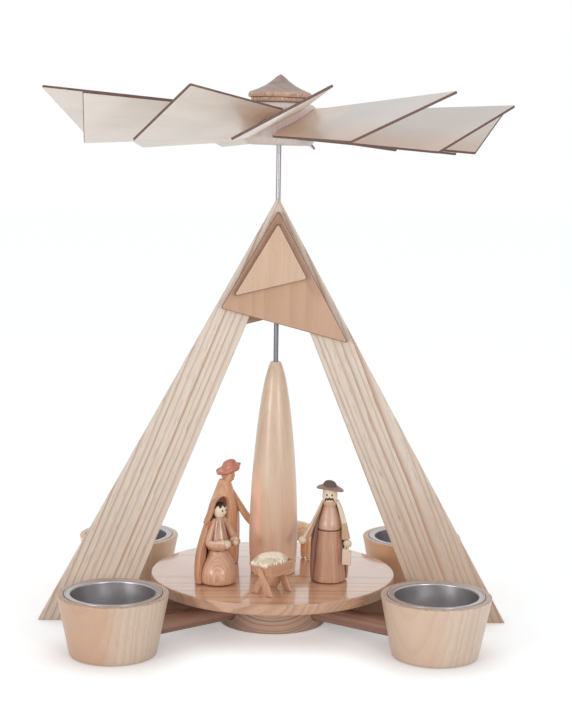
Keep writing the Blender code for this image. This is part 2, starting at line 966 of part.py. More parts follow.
def make_shepherd(rotor):
    stand = on_table("shepherd_stand", shepherd_across, shepherd_along, 0.0, rotor)
    head_floor = shepherd_robe_height + gap
    turned(
        "shepherd_robe",
        scaled(shepherd_robe_shares, shepherd_robe_radius, shepherd_robe_height),
        small_steps,
        cherry,
        parent=stand,
    )
    ball(
        "shepherd_head",
        (0.0, 0.0, head_floor + shepherd_head_radius),
        [shepherd_head_radius] * 3,
        cream,
        parent=stand,
    )
    turned(
        "shepherd_hat",
        scaled(shepherd_hat_shares, shepherd_hat_radius, shepherd_hat_height),
        small_steps,
        red,
        location=(0.0, 0.0, head_floor + 2 * shepherd_head_radius + 2 * gap),
        rotation=(0.0, shepherd_hat_tilt, 0.0),
        parent=stand,
    )
    route = spots(shepherd_arm_shares, shepherd_robe_radius, shepherd_robe_height, 0.0)
    tube("shepherd_arm", route, shepherd_sleeve_radius, alder, parent=stand)


def make_sheep(rotor):
    stand = on_table("sheep_stand", sheep_across, sheep_along, sheep_turn, rotor)
    belly = sheep_height - sheep_body_height / 2
    body_radii = (sheep_length / 2, sheep_width / 2, sheep_body_height / 2)
    sheep = ball("sheep", (0.0, 0.0, belly), body_radii, wool, parent=stand)
    for number, (across_share, along_share) in enumerate(sheep_leg_shares):
        across = across_share * sheep_length
        along = along_share * sheep_width
        foot = (across, along, 0.0)
        top = (across, along, belly)
        leg = cylinder("sheep_leg_%d" % number, foot, top, sheep_leg_radius, None, stand)
        combine(sheep, leg, "UNION")
    across_share, along_share, up_share = sheep_head_shares
    head_place = (across_share * sheep_length, along_share * sheep_width, up_share * sheep_height)
    head = ball("sheep_head", head_place, [sheep_head_radius] * 3, None, rod_steps, parent=stand)
    combine(sheep, head, "UNION")


def make_manger(rotor):
    stand = on_table("manger_stand", manger_across, manger_along, manger_turn, rotor)
    trough_floor = manger_height - trough_height
    trough = box(
        "manger_crib",
        (0.0, 0.0, trough_floor + trough_height / 2),
        (manger_length, manger_width, trough_height),
        alder,
        parent=stand,
    )
    for vertex in trough.data.vertices:
        if vertex.co.z < trough_floor + trough_height / 2:
            vertex.co.x *= trough_floor_share
            vertex.co.y *= trough_floor_share
    leg_top = trough_floor + trough_height / 2
    leg_lean = math.atan2(manger_leg_span / 2, leg_top)
    leg_length = 2 * math.hypot(manger_leg_span / 2, leg_top)
    inset = manger_length / 2 * trough_floor_share - manger_leg_inset
    for end in (-1, 1):
        for side in (-1, 1):
            stagger = side * manger_leg_thickness / 4
            leg = box(
                "manger_leg_%d_%d" % (end, side),
                (0.0, 0.0, -leg_length / 4),
                (manger_leg_thickness, manger_leg_width, leg_length / 2),
                None,
                location=(end * inset + stagger, 0.0, leg_top),
                rotation=(side * leg_lean, 0.0, 0.0),
                parent=stand,
            )
            combine(trough, leg, "UNION")
    foot_cut = box(
        "manger_foot_cut",
        (0.0, 0.0, -manger_height / 2),
        (2 * manger_length, 2 * manger_length, manger_height),
        None,
        parent=stand,
    )
    combine(trough, foot_cut)
    dome = []
    for step in range(straw_stations, -1, -1):
        angle = math.pi / 2 * step / straw_stations
        dome.append((math.cos(angle) * manger_width / 2, math.sin(angle) * straw_height))
    straw = turned(
        "manger_straw",
        dome + [(0.0, 0.0)],
        small_steps,
        cream,
        location=(0.0, 0.0, manger_height + gap),
        parent=stand,
    )
    for vertex in straw.data.vertices:
        vertex.co.x *= straw_share * manger_length / manger_width
        vertex.co.y *= straw_share


def main():
    make_legs()
    make_boards()
    make_bearings()
    make_base()
    rotor = add_empty("rotor_axis", (0.0, 0.0, 0.0))
    make_rotor(rotor)
    lean = (wheel_lean_forward, wheel_lean_sideways, 0.0)
    make_wheel(add_empty("wheel_axis", (0.0, 0.0, wheel_height), lean, rotor))
    make_mary(rotor)
    make_joseph(rotor)
    make_shepherd(rotor)
    make_sheep(rotor)
    make_manger(rotor)


main()
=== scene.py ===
import math

import bmesh
import bpy
from mathutils import Euler, Matrix, Vector, noise


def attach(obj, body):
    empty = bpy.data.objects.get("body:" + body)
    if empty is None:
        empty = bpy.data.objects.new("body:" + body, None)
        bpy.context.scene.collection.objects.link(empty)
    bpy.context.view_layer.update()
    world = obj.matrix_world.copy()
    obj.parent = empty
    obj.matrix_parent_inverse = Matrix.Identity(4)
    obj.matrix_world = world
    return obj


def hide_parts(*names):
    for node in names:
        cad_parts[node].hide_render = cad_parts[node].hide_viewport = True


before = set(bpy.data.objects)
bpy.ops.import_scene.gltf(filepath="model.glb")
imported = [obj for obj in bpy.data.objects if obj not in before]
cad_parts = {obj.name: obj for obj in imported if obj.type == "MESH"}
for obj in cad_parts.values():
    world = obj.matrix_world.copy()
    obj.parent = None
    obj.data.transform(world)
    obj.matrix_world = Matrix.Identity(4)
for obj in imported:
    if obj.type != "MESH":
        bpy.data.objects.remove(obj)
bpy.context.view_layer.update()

# Lengths in this file are millimetres. The camera, the lamps and the floor are in metres.
mm = 0.001
scene = bpy.context.scene
full_turn = math.tau
right_angle = math.pi / 2


def srgb(*levels):
    """A colour given on a scale of 255, as Blender's linear shares."""
    shares = [level / 255 for level in levels]
    return (*(share / 12.92 if share <= 0.04045 else ((share + 0.055) / 1.055) ** 2.4 for share in shares), 1.0)


def link_new(name, data, place=None):
    """A new object in the scene."""
    thing = bpy.data.objects.new(name, data)
    scene.collection.objects.link(thing)
    if place is not None:
        thing.matrix_world = place
    return thing


# ---------------------------------------------------------------- camera and lamps
camera_place = (-0.0193778, -0.8329321, 0.2489560)
camera_right = Vector((0.9995109, -0.0271978, 0.0154346))
camera_up = Vector((-0.0114648, 0.1404995, 0.9900144))
camera_lens, camera_film, camera_near = 83.547, 36.0, 0.05
lamp_aim = Vector((0.0, 0.0, 0.09))
lamp_width = 0.24


def set_camera():
    data = bpy.data.cameras.new("camera")
    data.lens, data.sensor_width, data.clip_start = camera_lens, camera_film, camera_near
    turn = Matrix((camera_right, camera_up, camera_right.cross(camera_up))).transposed()
    scene.camera = link_new("camera", data, Matrix.Translation(camera_place) @ turn.to_4x4())


def set_lamps():
    """Two soft boxes at table height, left and right of the camera, aimed at the figures."""
    for side, place, power in (("left", (-0.80, -0.90, 0.26), 3.3), ("right", (0.56, -1.04, 0.30), 2.7)):
        data = bpy.data.lights.new("softbox_" + side, "AREA")
        data.size, data.energy = lamp_width, power
        lamp = link_new("softbox_" + side, data)
        lamp.location = place
        lamp.rotation_euler = (Vector(place) - lamp_aim).to_track_quat("Z", "Y").to_euler()


# ---------------------------------------------------------------- small tools for node trees
class Amount:
    """A node's output. Sums written with it become Math nodes."""

    def __init__(self, socket):
        self.socket, self.tree = socket, socket.id_data

    def reckon(self, operation, *others):
        return put(self.tree, "Math", dict(enumerate((self, *others))), operation=operation)

    def __add__(self, other):
        return self.reckon("ADD", other)

    def __sub__(self, other):
        return self.reckon("SUBTRACT", other)

    def __mul__(self, other):
        return self.reckon("MULTIPLY", other)

    def __truediv__(self, other):
        return self.reckon("DIVIDE", other)


def feed(socket, value):
    """Link a node's output to an input, or set the input to a plain value."""
    if isinstance(value, Amount):
        socket.id_data.links.new(value.socket, socket)
    else:
        socket.default_value = value


def put(tree, kind, inputs=(), output=0, **settings):
    """Add a node, with its settings and its inputs by name or number, and give one of its outputs."""
    node = tree.nodes.new("ShaderNode" + kind)
    for name, value in settings.items():
        setattr(node, name, value)
    for name, value in dict(inputs).items():
        feed(node.inputs[name], value)
    return Amount(node.outputs[output])


def along_axis(place, axis):
    return put(place.tree, "SeparateXYZ", {0: place}, axis)


def stretch(place, shares):
    return put(place.tree, "VectorMath", {0: place, 1: shares}, operation="MULTIPLY")


def ramp(value, low, high, to_low=0.0, to_high=1.0):
    """A soft step from one value to another."""
    inputs = {"Value": value, "From Min": low, "From Max": high, "To Min": to_low, "To Max": to_high}
    return put(value.tree, "MapRange", inputs, interpolation_type="SMOOTHSTEP")


def mix(share, first, second):
    return put(share.tree, "Mix", {0: share, 6: first, 7: second}, 2, data_type="RGBA")


def toned(colour, tone):
    return put(tone.tree, "HueSaturation", {"Value": tone, "Color": colour})


def cloud(place, scale, detail=2.0, shift=0.0, roughness=0.5):
    """Soft noise from 0 to 1 about a place; the shift gives each piece its own pattern."""
    inputs = {"Vector": place, "Scale": scale, "Detail": detail, "Roughness": roughness, "W": shift}
    return put(place.tree, "TexNoise", inputs, noise_dimensions="4D")


def line_noise(where, detail):
    return put(where.tree, "TexNoise", {"W": where, "Scale": 1.0, "Detail": detail}, noise_dimensions="1D")


def start_group(name, inputs, outputs):
    """A shader group. Each input's default tells its kind; Colour is the one colour that comes out."""
    group = bpy.data.node_groups.new(name, "ShaderNodeTree")
    kinds = {1: "NodeSocketFloat", 3: "NodeSocketVector", 4: "NodeSocketColor"}
    inputs = {"Place": (0.0, 0.0, 0.0), **inputs, "Piece Shift": 0.0}
    for title, default in inputs.items():
        kind = kinds[len(default) if isinstance(default, tuple) else 1]
        group.interface.new_socket(title, in_out="INPUT", socket_type=kind).default_value = default
    for title in outputs:
        kind = kinds[4 if title == "Colour" else 1]
        group.interface.new_socket(title, in_out="OUTPUT", socket_type=kind)
    entry = group.nodes.new("NodeGroupInput").outputs
    exit_inputs = group.nodes.new("NodeGroupOutput").inputs
    return group, {title: Amount(entry[title]) for title in inputs}, exit_inputs


def use_group(group, place, shift, inputs):
    node = place.tree.nodes.new("ShaderNodeGroup")
    node.node_tree = group
    for title, value in {"Place": place, "Piece Shift": shift, **inputs}.items():
        feed(node.inputs[title], value)
    return {socket.name: Amount(socket) for socket in node.outputs}


# ---------------------------------------------------------------- groups that the finishes share
def make_grain_group():
    """Wood as a solid: year rings about a pith line along X, pores, fibres and broad patches.

    Place is in millimetres, with X along the grain.
    """
    group, given, made = start_group(
        "wood_grain",
        {
            "Pale": (0.8, 0.6, 0.4, 1.0), "Dark": (0.5, 0.3, 0.2, 1.0), "Pore Colour": (0.4, 0.3, 0.2, 1.0),
            "Ring Width": 3.0, "Wander": 1.0, "Line Start": 0.25, "Line Strength": 0.5,
            "Pore Strength": 0.3, "Fibre Strength": 0.1, "Patch Strength": 0.1,
        },
        ("Colour", "Height"),
    )
    place, shift = given["Place"], given["Piece Shift"]
    wander = (cloud(stretch(place, (0.010, 0.045, 0.045)), 1.0, 2.0, shift) - 0.5) * given["Wander"]
    across, deep = along_axis(place, "Y"), along_axis(place, "Z")
    ring = ((across * across + deep * deep).reckon("SQRT") + wander) / given["Ring Width"]
    ring = ring + (line_noise(ring * 0.37 + shift, 1.0) - 0.5) * 1.9
    share = ring.reckon("FRACT")
    chance = put(group, "TexWhiteNoise", {"W": ring.reckon("FLOOR") + shift}, "Value", noise_dimensions="1D")
    late = ramp(share, given["Line Start"], 0.93) * ramp(share, 0.94, 1.0, 1.0, 0.0) * (chance * 0.55 + 0.45)
    early = ramp(share, 0.03, 0.4, 1.0, 0.0)
    pores = ramp(cloud(stretch(place, (0.12, 2.6, 2.6)), 1.0, 1.0, shift), 0.56, 0.7) * (early * 0.7 + 0.3)
    pores = pores * given["Pore Strength"]
    fibre = cloud(stretch(place, (0.07, 1.5, 1.5)), 1.0, 3.0, shift, 0.6) - 0.5
    patch = cloud(stretch(place, (0.022, 0.07, 0.07)), 1.0, 3.0, shift) - 0.5
    colour = mix(late * given["Line Strength"], given["Pale"], given["Dark"])
    colour = mix(pores, colour, given["Pore Colour"])
    tone = (fibre * given["Fibre Strength"] + patch * given["Patch Strength"]) * 2.0 + 1.0
    feed(made["Colour"], toned(colour, tone))
    feed(made["Height"], pores * -1.0 - late * 0.15 + fibre * 0.3)
    return group


def make_sheen_group():
    """Roughness that varies a little, as hands and a cloth leave it."""
    group, given, made = start_group("rubbed_sheen", {"Roughness": 0.4, "Variation": 0.1}, ("Roughness", "Smear"))
    smear = cloud(given["Place"], 0.16, 3.0, given["Piece Shift"], 0.6)
    feed(made["Roughness"], given["Roughness"] + (smear - 0.5) * given["Variation"])
    feed(made["Smear"], smear)
    return group


def make_tool_group():
    """Fine rings that a lathe tool leaves round an upright axis, as a height from -1 to 1."""
    group, given, made = start_group("lathe_rings", {"Spacing": 0.6}, ("Height", "Dark"))
    across, deep, up = (along_axis(given["Place"], axis) for axis in "XYZ")
    radius = (across * across + deep * deep).reckon("SQRT")
    rings = line_noise((up + radius * 0.83) / given["Spacing"] + given["Piece Shift"], 2.0)
    feed(made["Height"], (rings - 0.5) * 2.0)
    feed(made["Dark"], ramp(rings, 0.42, 0.3))
    return group


def make_brush_group():
    """Thin paint on wood: brush strokes along Z, thin spots, and a height."""
    group, given, made = start_group(
        "brushed_paint",
        {"Paint": (0.8, 0.8, 0.8, 1.0), "Thin": (0.6, 0.5, 0.4, 1.0), "Thinness": 0.3},
        ("Colour", "Height"),
    )
    place, shift = given["Place"], given["Piece Shift"]
    strokes = cloud(stretch(place, (1.1, 1.1, 0.35)), 1.0, 3.0, shift, 0.65)
    spots = ramp(cloud(place, 0.45, 2.0, shift), 0.5, 0.72)
    colour = mix(spots * strokes * given["Thinness"] * 2.0, given["Paint"], given["Thin"])
    feed(made["Colour"], toned(colour, strokes * 0.16 + 0.92))
    feed(made["Height"], strokes)
    return group


grain_group = make_grain_group()
sheen_group = make_sheen_group()
tool_group = make_tool_group()
brush_group = make_brush_group()
grain_turns = {"x": (0.0, 0.0, 0.0), "y": (0.0, 0.0, -right_angle), "z": (0.0, right_angle, 0.0)}
sheen_tint = (1.0, 0.86, 0.74, 1.0)


def start_finish(name):
    """A new material, the piece's own place in millimetres and the piece's shift."""
    material = bpy.data.materials.new(name)
    material.use_nodes = True
    tree = material.node_tree
    spot = put(tree, "TexCoord", (), "Object")
    place = put(tree, "VectorMath", {0: spot, "Scale": 1 / mm}, operation="SCALE")
    return material, place, put(tree, "ObjectInfo", (), "Object Index") * 0.731


def end_finish(material, place, shift, colour, height, rough, tints, relief, strength, constants):
    """Tint the colour and feed the shader. Each tint is a mask and its colour; rough is with its variation."""
    for mask, tint in tints:
        colour = mix(mask(place, shift), colour, srgb(*tint))
    bump = put(place.tree, "Bump", {"Height": height, "Strength": strength, "Distance": relief * mm})
    feeds = {"Base Color": colour, "Roughness": rough["Roughness"], "Normal": bump, **constants}
    for title, value in feeds.items():
        feed(place.tree.nodes["Principled BSDF"].inputs[title], value)
    return material


def rub(place, shift, rough, variation):
    return use_group(sheen_group, place, shift, {"Roughness": rough, "Variation": variation})


def wood_finish(
    name, pale, dark, pore, grain="x", pith=(0.0, 0.0), ring=3.0, wander=2.0, start=0.25, line=0.5, pores=0.3,
    fibre=0.1, patch=0.1, rough=0.42, coat=0.0, coat_rough=0.1, coat_ior=1.5, relief=0.05, tool=0.0, sheen=0.0,
    tints=(),
):
    """Clear-finished wood. The grain runs along an axis, or at an angle in the piece's XY plane.

    The pith line is given across and deep from the piece's own origin.
    """
    material, place, shift = start_finish(name)
    turn = grain_turns[grain] if grain in grain_turns else (0.0, 0.0, math.radians(grain))
    turned = put(place.tree, "Mapping", {"Vector": place, "Rotation": turn})
    jump = put(place.tree, "CombineXYZ", {"X": shift * 95.0})
    for operation, step in (("ADD", jump), ("SUBTRACT", (0.0, *pith))):
        turned = put(place.tree, "VectorMath", {0: turned, 1: step}, operation=operation)
    looks = {
        "Pale": srgb(*pale), "Dark": srgb(*dark), "Pore Colour": srgb(*pore), "Ring Width": ring,
        "Wander": wander, "Line Start": start, "Line Strength": line, "Pore Strength": pores,
        "Fibre Strength": fibre, "Patch Strength": patch,
    }
    wood = use_group(grain_group, turned, shift, looks)
    colour, height = wood["Colour"], wood["Height"]
    if tool:
        rings = use_group(tool_group, place, shift, {"Spacing": 0.7})
        height = height + rings["Height"] * tool
        colour = mix(rings["Dark"] * (min(1.0, tool) * 0.35), colour, looks["Dark"])
    constants = {
        "Coat Weight": coat, "Coat Roughness": coat_rough, "Coat IOR": coat_ior,
        "Sheen Weight": sheen, "Sheen Tint": sheen_tint,
    }
    rough = rub(place, shift, rough, 0.18)
    return end_finish(material, place, shift, colour, height, rough, tints, relief, 0.6, constants)


def paint_finish(name, paint, thin, thinness=0.3, rough=0.5, relief=0.05, tints=(), sheen=0.0):
    """Matt or satin paint on wood."""
    material, place, shift = start_finish(name)
    looks = {"Paint": srgb(*paint), "Thin": srgb(*thin), "Thinness": thinness}
    brushed = use_group(brush_group, place, shift, looks)
    rough = rub(place, shift, rough, 0.2)
    return end_finish(
        material, place, shift, brushed["Colour"], brushed["Height"], rough, tints, relief, 0.5,
        {"Sheen Weight": sheen},
    )


def metal_finish(name, colour, rough, spacing, relief, tints=()):
    """Drawn, pressed or turned metal with fine rings round its axis."""
    material, place, shift = start_finish(name)
    rings = use_group(tool_group, place, shift, {"Spacing": spacing})
    rough = rub(place, shift, rough, 0.16)
    colour = toned(srgb(*colour), rough["Smear"] * 0.24 + 0.88)
    return end_finish(
        material, place, shift, colour, rings["Height"], rough, tints, relief, 0.5, {"Metallic": 1.0}
    )


# ---------------------------------------------------------------- masks for the tints, from a place and a shift
def where_axis(axis, low, high, most=1.0, waver=0.0, scale=0.1):
    """A mask that grows from 0 to most between two places on an axis, with a wavering edge."""

    def mask(place, shift):
        value = along_axis(place, axis)
        if waver:
            value = value + (cloud(place, scale, 3.0, shift) - 0.5) * waver
        return ramp(value, low, high, 0.0, most)

    return mask


def both(first, second):
    return lambda place, shift: first(place, shift) * second(place, shift)


def past_edge(direction, low, high, most):
    """A mask that grows towards an edge of a board, along a direction in its plane."""

    def mask(place, shift):
        inputs = {0: place, 1: (*direction, 0.0)}
        reach = put(place.tree, "VectorMath", inputs, "Value", operation="DOT_PRODUCT")
        return ramp(reach, low, high, 0.0, most)

    return mask


def in_streaks(across, along, low, high, most):
    """A mask of fine streaks: so many to a millimetre across X and Y, and along Z."""
    return lambda place, shift: ramp(
        cloud(stretch(place, (across, across, along)), 1.0, 2.0, shift), low, high, 0.0, most
    )


def beyond_radius(low, high, most):
    """A mask that grows away from the piece's upright axis."""

    def mask(place, shift):
        reach = put(place.tree, "VectorMath", {0: stretch(place, (1.0, 1.0, 0.0))}, "Value", operation="LENGTH")
        return ramp(reach, low, high, 0.0, most)

    return mask


# ---------------------------------------------------------------- small tools for meshes
def make_mesh(name, points, faces, edge_faces=()):
    """A mesh from points in millimetres. The faces in edge_faces take the second material."""
    mesh = bpy.data.meshes.new(name)
    mesh.from_pydata([tuple(Vector(point) * mm) for point in points], [], faces)
    shape = bmesh.new()
    shape.from_mesh(mesh)
    bmesh.ops.remove_doubles(shape, verts=shape.verts, dist=0.0001 * mm)
    bmesh.ops.recalc_face_normals(shape, faces=shape.faces)
    shape.to_mesh(mesh)
    shape.free()
    for index in edge_faces:
        mesh.polygons[index].material_index = 1
    mesh.validate()
    return mesh


def skin(rings, is_ring=False):
    """Points, faces and rows of point numbers over rings of points. A ring may be a single point."""
    points, rows, faces = [], [], []
    for ring in rings:
        rows.append(range(len(points), len(points) + len(ring)))
        points += ring
    for low, high in zip(rows, rows[1:] + (rows[:1] if is_ring else [])):
        steps = max(len(low), len(high))
        for step in range(steps):
            after = (step + 1) % steps
            corners = (low[step % len(low)], low[after % len(low)], high[after % len(high)], high[step % len(high)])
            face = list(dict.fromkeys(corners))
            if len(face) > 2:
                faces.append(face)
    return points, faces, rows


def skinned_mesh(name, rings, flat_ends=(0, -1), has_edge_finish=False, is_ring=False):
    """A mesh over rings of points; the rings numbered in flat_ends are closed by a flat face."""
    points, faces, rows = skin(rings, is_ring)
    sides = range(len(faces)) if has_edge_finish else ()
    flats = [list(reversed(rows[end])) if end == 0 else list(rows[end]) for end in flat_ends]
    return make_mesh(name, points, faces + flats, sides)


def ring_angles(steps):
    return [full_turn * step / steps for step in range(steps)]


def smooth_line(points, per_span=5):
    """More points on a smooth line through the ones given."""
    points = [Vector(point) for point in points]
    ends = [points[0] * 2 - points[1]] + points + [points[-1] * 2 - points[-2]]
    line = []
    for index in range(1, len(ends) - 2):
        before, start, end, after = ends[index - 1 : index + 3]
        square = 2 * before - 5 * start + 4 * end - after
        cube = 3 * start - before - 3 * end + after
        for step in range(per_span):
            t = step / per_span
            line.append(0.5 * (2 * start + (end - before) * t + square * t**2 + cube * t**3))
    return line + [points[-1]]


def round_off(before, corner, after, setback, most, steps):
    """A curve that cuts a corner, from at most a share of the way to each neighbour."""
    back, on = before - corner, after - corner
    start = corner + back.normalized() * min(setback, most * back.length)
    end = corner + on.normalized() * min(setback, most * on.length)
    shares = [step / steps for step in range(steps + 1)]
    return [start * (1 - t) ** 2 + corner * 2 * t * (1 - t) + end * t**2 for t in shares]


def eased(points, steps=4):
    """A line of (across, up, setback) points with each corner rounded by its setback."""
    flat = [Vector(point[:2]) for point in points]
    line = flat[:1]
    for index in range(1, len(flat) - 1):
        if len(points[index]) > 2:
            line += round_off(*flat[index - 1 : index + 2], points[index][2], 0.48, steps)
        else:
            line.append(flat[index])
    return line + flat[-1:]


def rounded_outline(corners, inset, setback, steps=5):
    """An anticlockwise outline moved inwards, with rounded corners and always as many points."""
    corners = [Vector(corner[:2]) for corner in corners]
    count = len(corners)
    moved = []
    for index, corner in enumerate(corners):
        arriving = (corner - corners[index - 1]).normalized()
        leaving = (corners[(index + 1) % count] - corner).normalized()
        first, second = (Vector((-way.y, way.x)) for way in (arriving, leaving))
        moved.append(corner + (first + second) * inset / (1 + first.dot(second)))
    ring = []
    for index, corner in enumerate(moved):
        ring += round_off(moved[index - 1], corner, moved[(index + 1) % count], setback, 0.45, steps)
    return ring


def around(angle, radius, height):
    return Vector((radius * math.cos(angle), radius * math.sin(angle), height))


def turned_mesh(name, profile, steps=64, form=None, is_ring=False):
    """Turn a profile of radius and height about Z. A form may move each point (angle, radius, height)."""
    shape = form or around
    rings = []
    for radius, height in profile:
        angles = ring_angles(steps)[: 1 if radius < 0.001 and not form else steps]
        rings.append([shape(angle, radius, height) for angle in angles])
    return skinned_mesh(name, rings, (), is_ring=is_ring)


def board_mesh(name, corners, thickness, setback=0.8, edge=0.4, has_edge_finish=False, clean=None):
    """A flat board about its middle plane, with rounded corners and eased edges.

    Sides that look along the clean direction keep the board's main finish.
    """
    if sum(a[0] * b[1] - b[0] * a[1] for a, b in zip(corners[-1:] + corners, corners)) < 0:
        corners = corners[::-1]
    half = thickness / 2
    rims = ((half, edge), (half - edge * 0.3, edge * 0.3), (half - edge, 0.0))
    levels = [(-height, inset) for height, inset in rims] + list(reversed(rims))
    rings = [
        [(*point, height) for point in rounded_outline(corners, inset, setback)] for height, inset in levels
    ]
    mesh = skinned_mesh(name, rings, has_edge_finish=has_edge_finish)
    for face in mesh.polygons:
        if clean and face.normal.dot(Vector(clean)) > 0.5:
            face.material_index = 0
    return mesh


def tube_mesh(name, path, radii, steps=20, flatten=1.0, cap_rows=4):
    """A bar along a path, with a radius at each point and domed ends."""
    path = [Vector(point) for point in path]
    rows, side = [], None
    last = len(path) - 1
    for index, point in enumerate(path):
        along = (path[min(index + 1, last)] - path[max(index - 1, 0)]).normalized()
        side = side or along.orthogonal().normalized()
        side = (side - along * side.dot(along)).normalized()
        rows.append((point, side, along.cross(side), radii[index], along))
    domes = []
    for (point, side, up, radius, along), sign in ((rows[0], -1), (rows[-1], 1)):
        angles = [right_angle * step / cap_rows for step in range(cap_rows)]
        reaches = [sign * math.cos(angle) * radius * 0.45 for angle in angles]
        domes.append([
            (point + along * reach, side, up, radius * math.sin(angle)) for angle, reach in zip(angles, reaches)
        ])
    rings = [
        [
            centre + across * (radius * math.cos(angle)) + up * (radius * math.sin(angle) * flatten)
            for angle in ring_angles(steps)
        ]
        for centre, across, up, radius in domes[0] + [row[:4] for row in rows] + domes[1][::-1]
    ]
    return skinned_mesh(name, rings, ())


def ball_mesh(name, centre, radii, rings=16, form=None):
    """A ball or egg about a centre; a form may move each point."""
    rows = []
    for ring in range(rings + 1):
        polar = math.pi * ring / rings
        wide, high = math.sin(polar), math.cos(polar) * radii[2]
        row = [
            Vector((wide * math.cos(angle) * radii[0], wide * math.sin(angle) * radii[1], high))
            for angle in ring_angles(rings * 2)
        ]
        rows.append([(form(point) if form else point) + Vector(centre) for point in row])
    return skinned_mesh(name, rows, ())


def rod_mesh(name, start, end, radius, steps=48):
    start, end = Vector(start), Vector(end)
    side = (end - start).normalized().orthogonal().normalized()
    up = (end - start).normalized().cross(side)
    rings = [
        [centre + side * radius * math.cos(angle) + up * radius * math.sin(angle) for angle in ring_angles(steps)]
        for centre in (start, end)
    ]
    return skinned_mesh(name, rings)


def along_steps(steps, where):
    """The value at a place on a line of (place, value) steps."""
    for (low, first), (high, second) in zip(steps, steps[1:]):
        if where <= high:
            return first + (second - first) * max(0.0, where - low) / (high - low)
    return steps[-1][1]


def mantle_mesh(name, rows, thicknesses, columns=40, form=None):
    """A shell round the back, open to -Y. Each row is (radius, height, sweep in degrees).

    The thicknesses are steps of (height, thickness).
    """
    rings = []
    for radius, height, sweep in rows:
        half = math.radians(sweep) / 2
        angles = [right_angle - half + 2 * half * column / columns for column in range(columns + 1)]
        inner = max(radius - along_steps(thicknesses, height), 0.02)
        ring = [around(angle, radius, height) for angle in angles]
        ring += [around(angle, inner, height) for angle in reversed(angles)]
        rings.append([form(point) if form else point for point in ring])
    points, faces, rows = skin(rings)
    for row in (rows[0], rows[-1]):
        for column in range(columns):
            faces.append((row[column], row[column + 1], row[-column - 2], row[-column - 1]))
    return make_mesh(name, points, faces)


def join_meshes(name, meshes, finishes=None):
    """Several meshes as one; finishes gives each one's material number."""
    shape = bmesh.new()
    for order, mesh in enumerate(meshes):
        before = len(shape.faces)
        shape.from_mesh(mesh)
        shape.faces.ensure_lookup_table()
        for face in shape.faces[before:] if finishes else ():
            face.material_index = finishes[order]
        bpy.data.meshes.remove(mesh)
    joined = bpy.data.meshes.new(name)
    shape.to_mesh(joined)
    shape.free()
    return joined


def smooth_faces(mesh, sharp):
    mesh.shade_smooth()
    mesh.set_sharp_from_angle(angle=math.radians(sharp))


def add_piece(name, mesh, body, slot, finishes, stands_for=(), place=None, sharp=32, refine=0):
    """Link a piece, give it its finishes, and tie it to its CAD body and nodes. The slot is not used."""
    piece = link_new(name, mesh, place)
    mesh.name = name
    for finish in finishes:
        mesh.materials.append(finish)
    smooth_faces(mesh, sharp)
    if refine:
        rounding = piece.modifiers.new("Rounding", "SUBSURF")
        rounding.levels = rounding.render_levels = refine
    add_piece.count += 1
    piece.pass_index = add_piece.count
    bpy.context.view_layer.update()
    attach(piece, body)
    if stands_for:
        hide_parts(*stands_for)
    return piece


add_piece.count = 0


def cut(piece, shapes, sharp=32):
    """Cut shapes out of a piece's mesh, each given as a mesh and its place, and keep the result."""
    tools = [link_new("cutter", mesh, place) for mesh, place in shapes]
    for tool in tools:
        modifier = piece.modifiers.new("Cut", "BOOLEAN")
        modifier.operation, modifier.solver, modifier.object = "DIFFERENCE", "EXACT", tool
    bpy.context.view_layer.update()
    evaluated = piece.evaluated_get(bpy.context.evaluated_depsgraph_get())
    mesh = bpy.data.meshes.new_from_object(evaluated)
    old = piece.data
    piece.modifiers.clear()
    piece.data = mesh
    bpy.data.meshes.remove(old)
    mesh.name = piece.name
    smooth_faces(mesh, sharp)
    for tool in tools:
        mesh = tool.data
        bpy.data.objects.remove(tool)
        bpy.data.meshes.remove(mesh)


def place_of(origin, along, across):
    """A place from an origin in millimetres, its X axis and roughly its Y axis."""
    along = Vector(along).normalized()
    up = along.cross(Vector(across)).normalized()
    turn = Matrix((along, up.cross(along), up)).transposed()
    return Matrix.Translation(Vector(origin) * mm) @ turn.to_4x4()


def shift_by(*way):
    return Matrix.Translation(Vector(way) * mm)


def turn_by(degrees, axis="Z"):
    return Matrix.Rotation(math.radians(degrees), 4, axis)


def lay_flat(corners, place):
    """Corners (x, z) of an upright outline as a place's own x and y."""
    back = place.inverted()
    own = [back @ (Vector((across, 0.0, up)) * mm) / mm for across, up in corners]
    return [(point.x, point.y) for point in own]


# ---------------------------------------------------------------- sizes the pieces share, from the CAD
table_top, stand_height = 25.0, 25.3
frame_peak, mitre_base = 213.8, 188.2
inner_foot, outer_foot = 76.2, 118.2
plank_thickness, joint_gap = 10.0, 0.3
cup_across, cup_along, cup_height = 76.4, 58.1, 29.6
arm_height, arm_radius = 9.0, 4.4
block_radius, block_height = 27.4, 16.0
spindle_radius, wheel_height = 1.2, 250.45
wheel_lean = Euler((math.radians(-1.5), math.radians(1.0), 0.0)).to_matrix().to_4x4()
wheel_place = shift_by(0.0, 0.0, wheel_height)
sides = ((-1, "left"), (1, "right"))


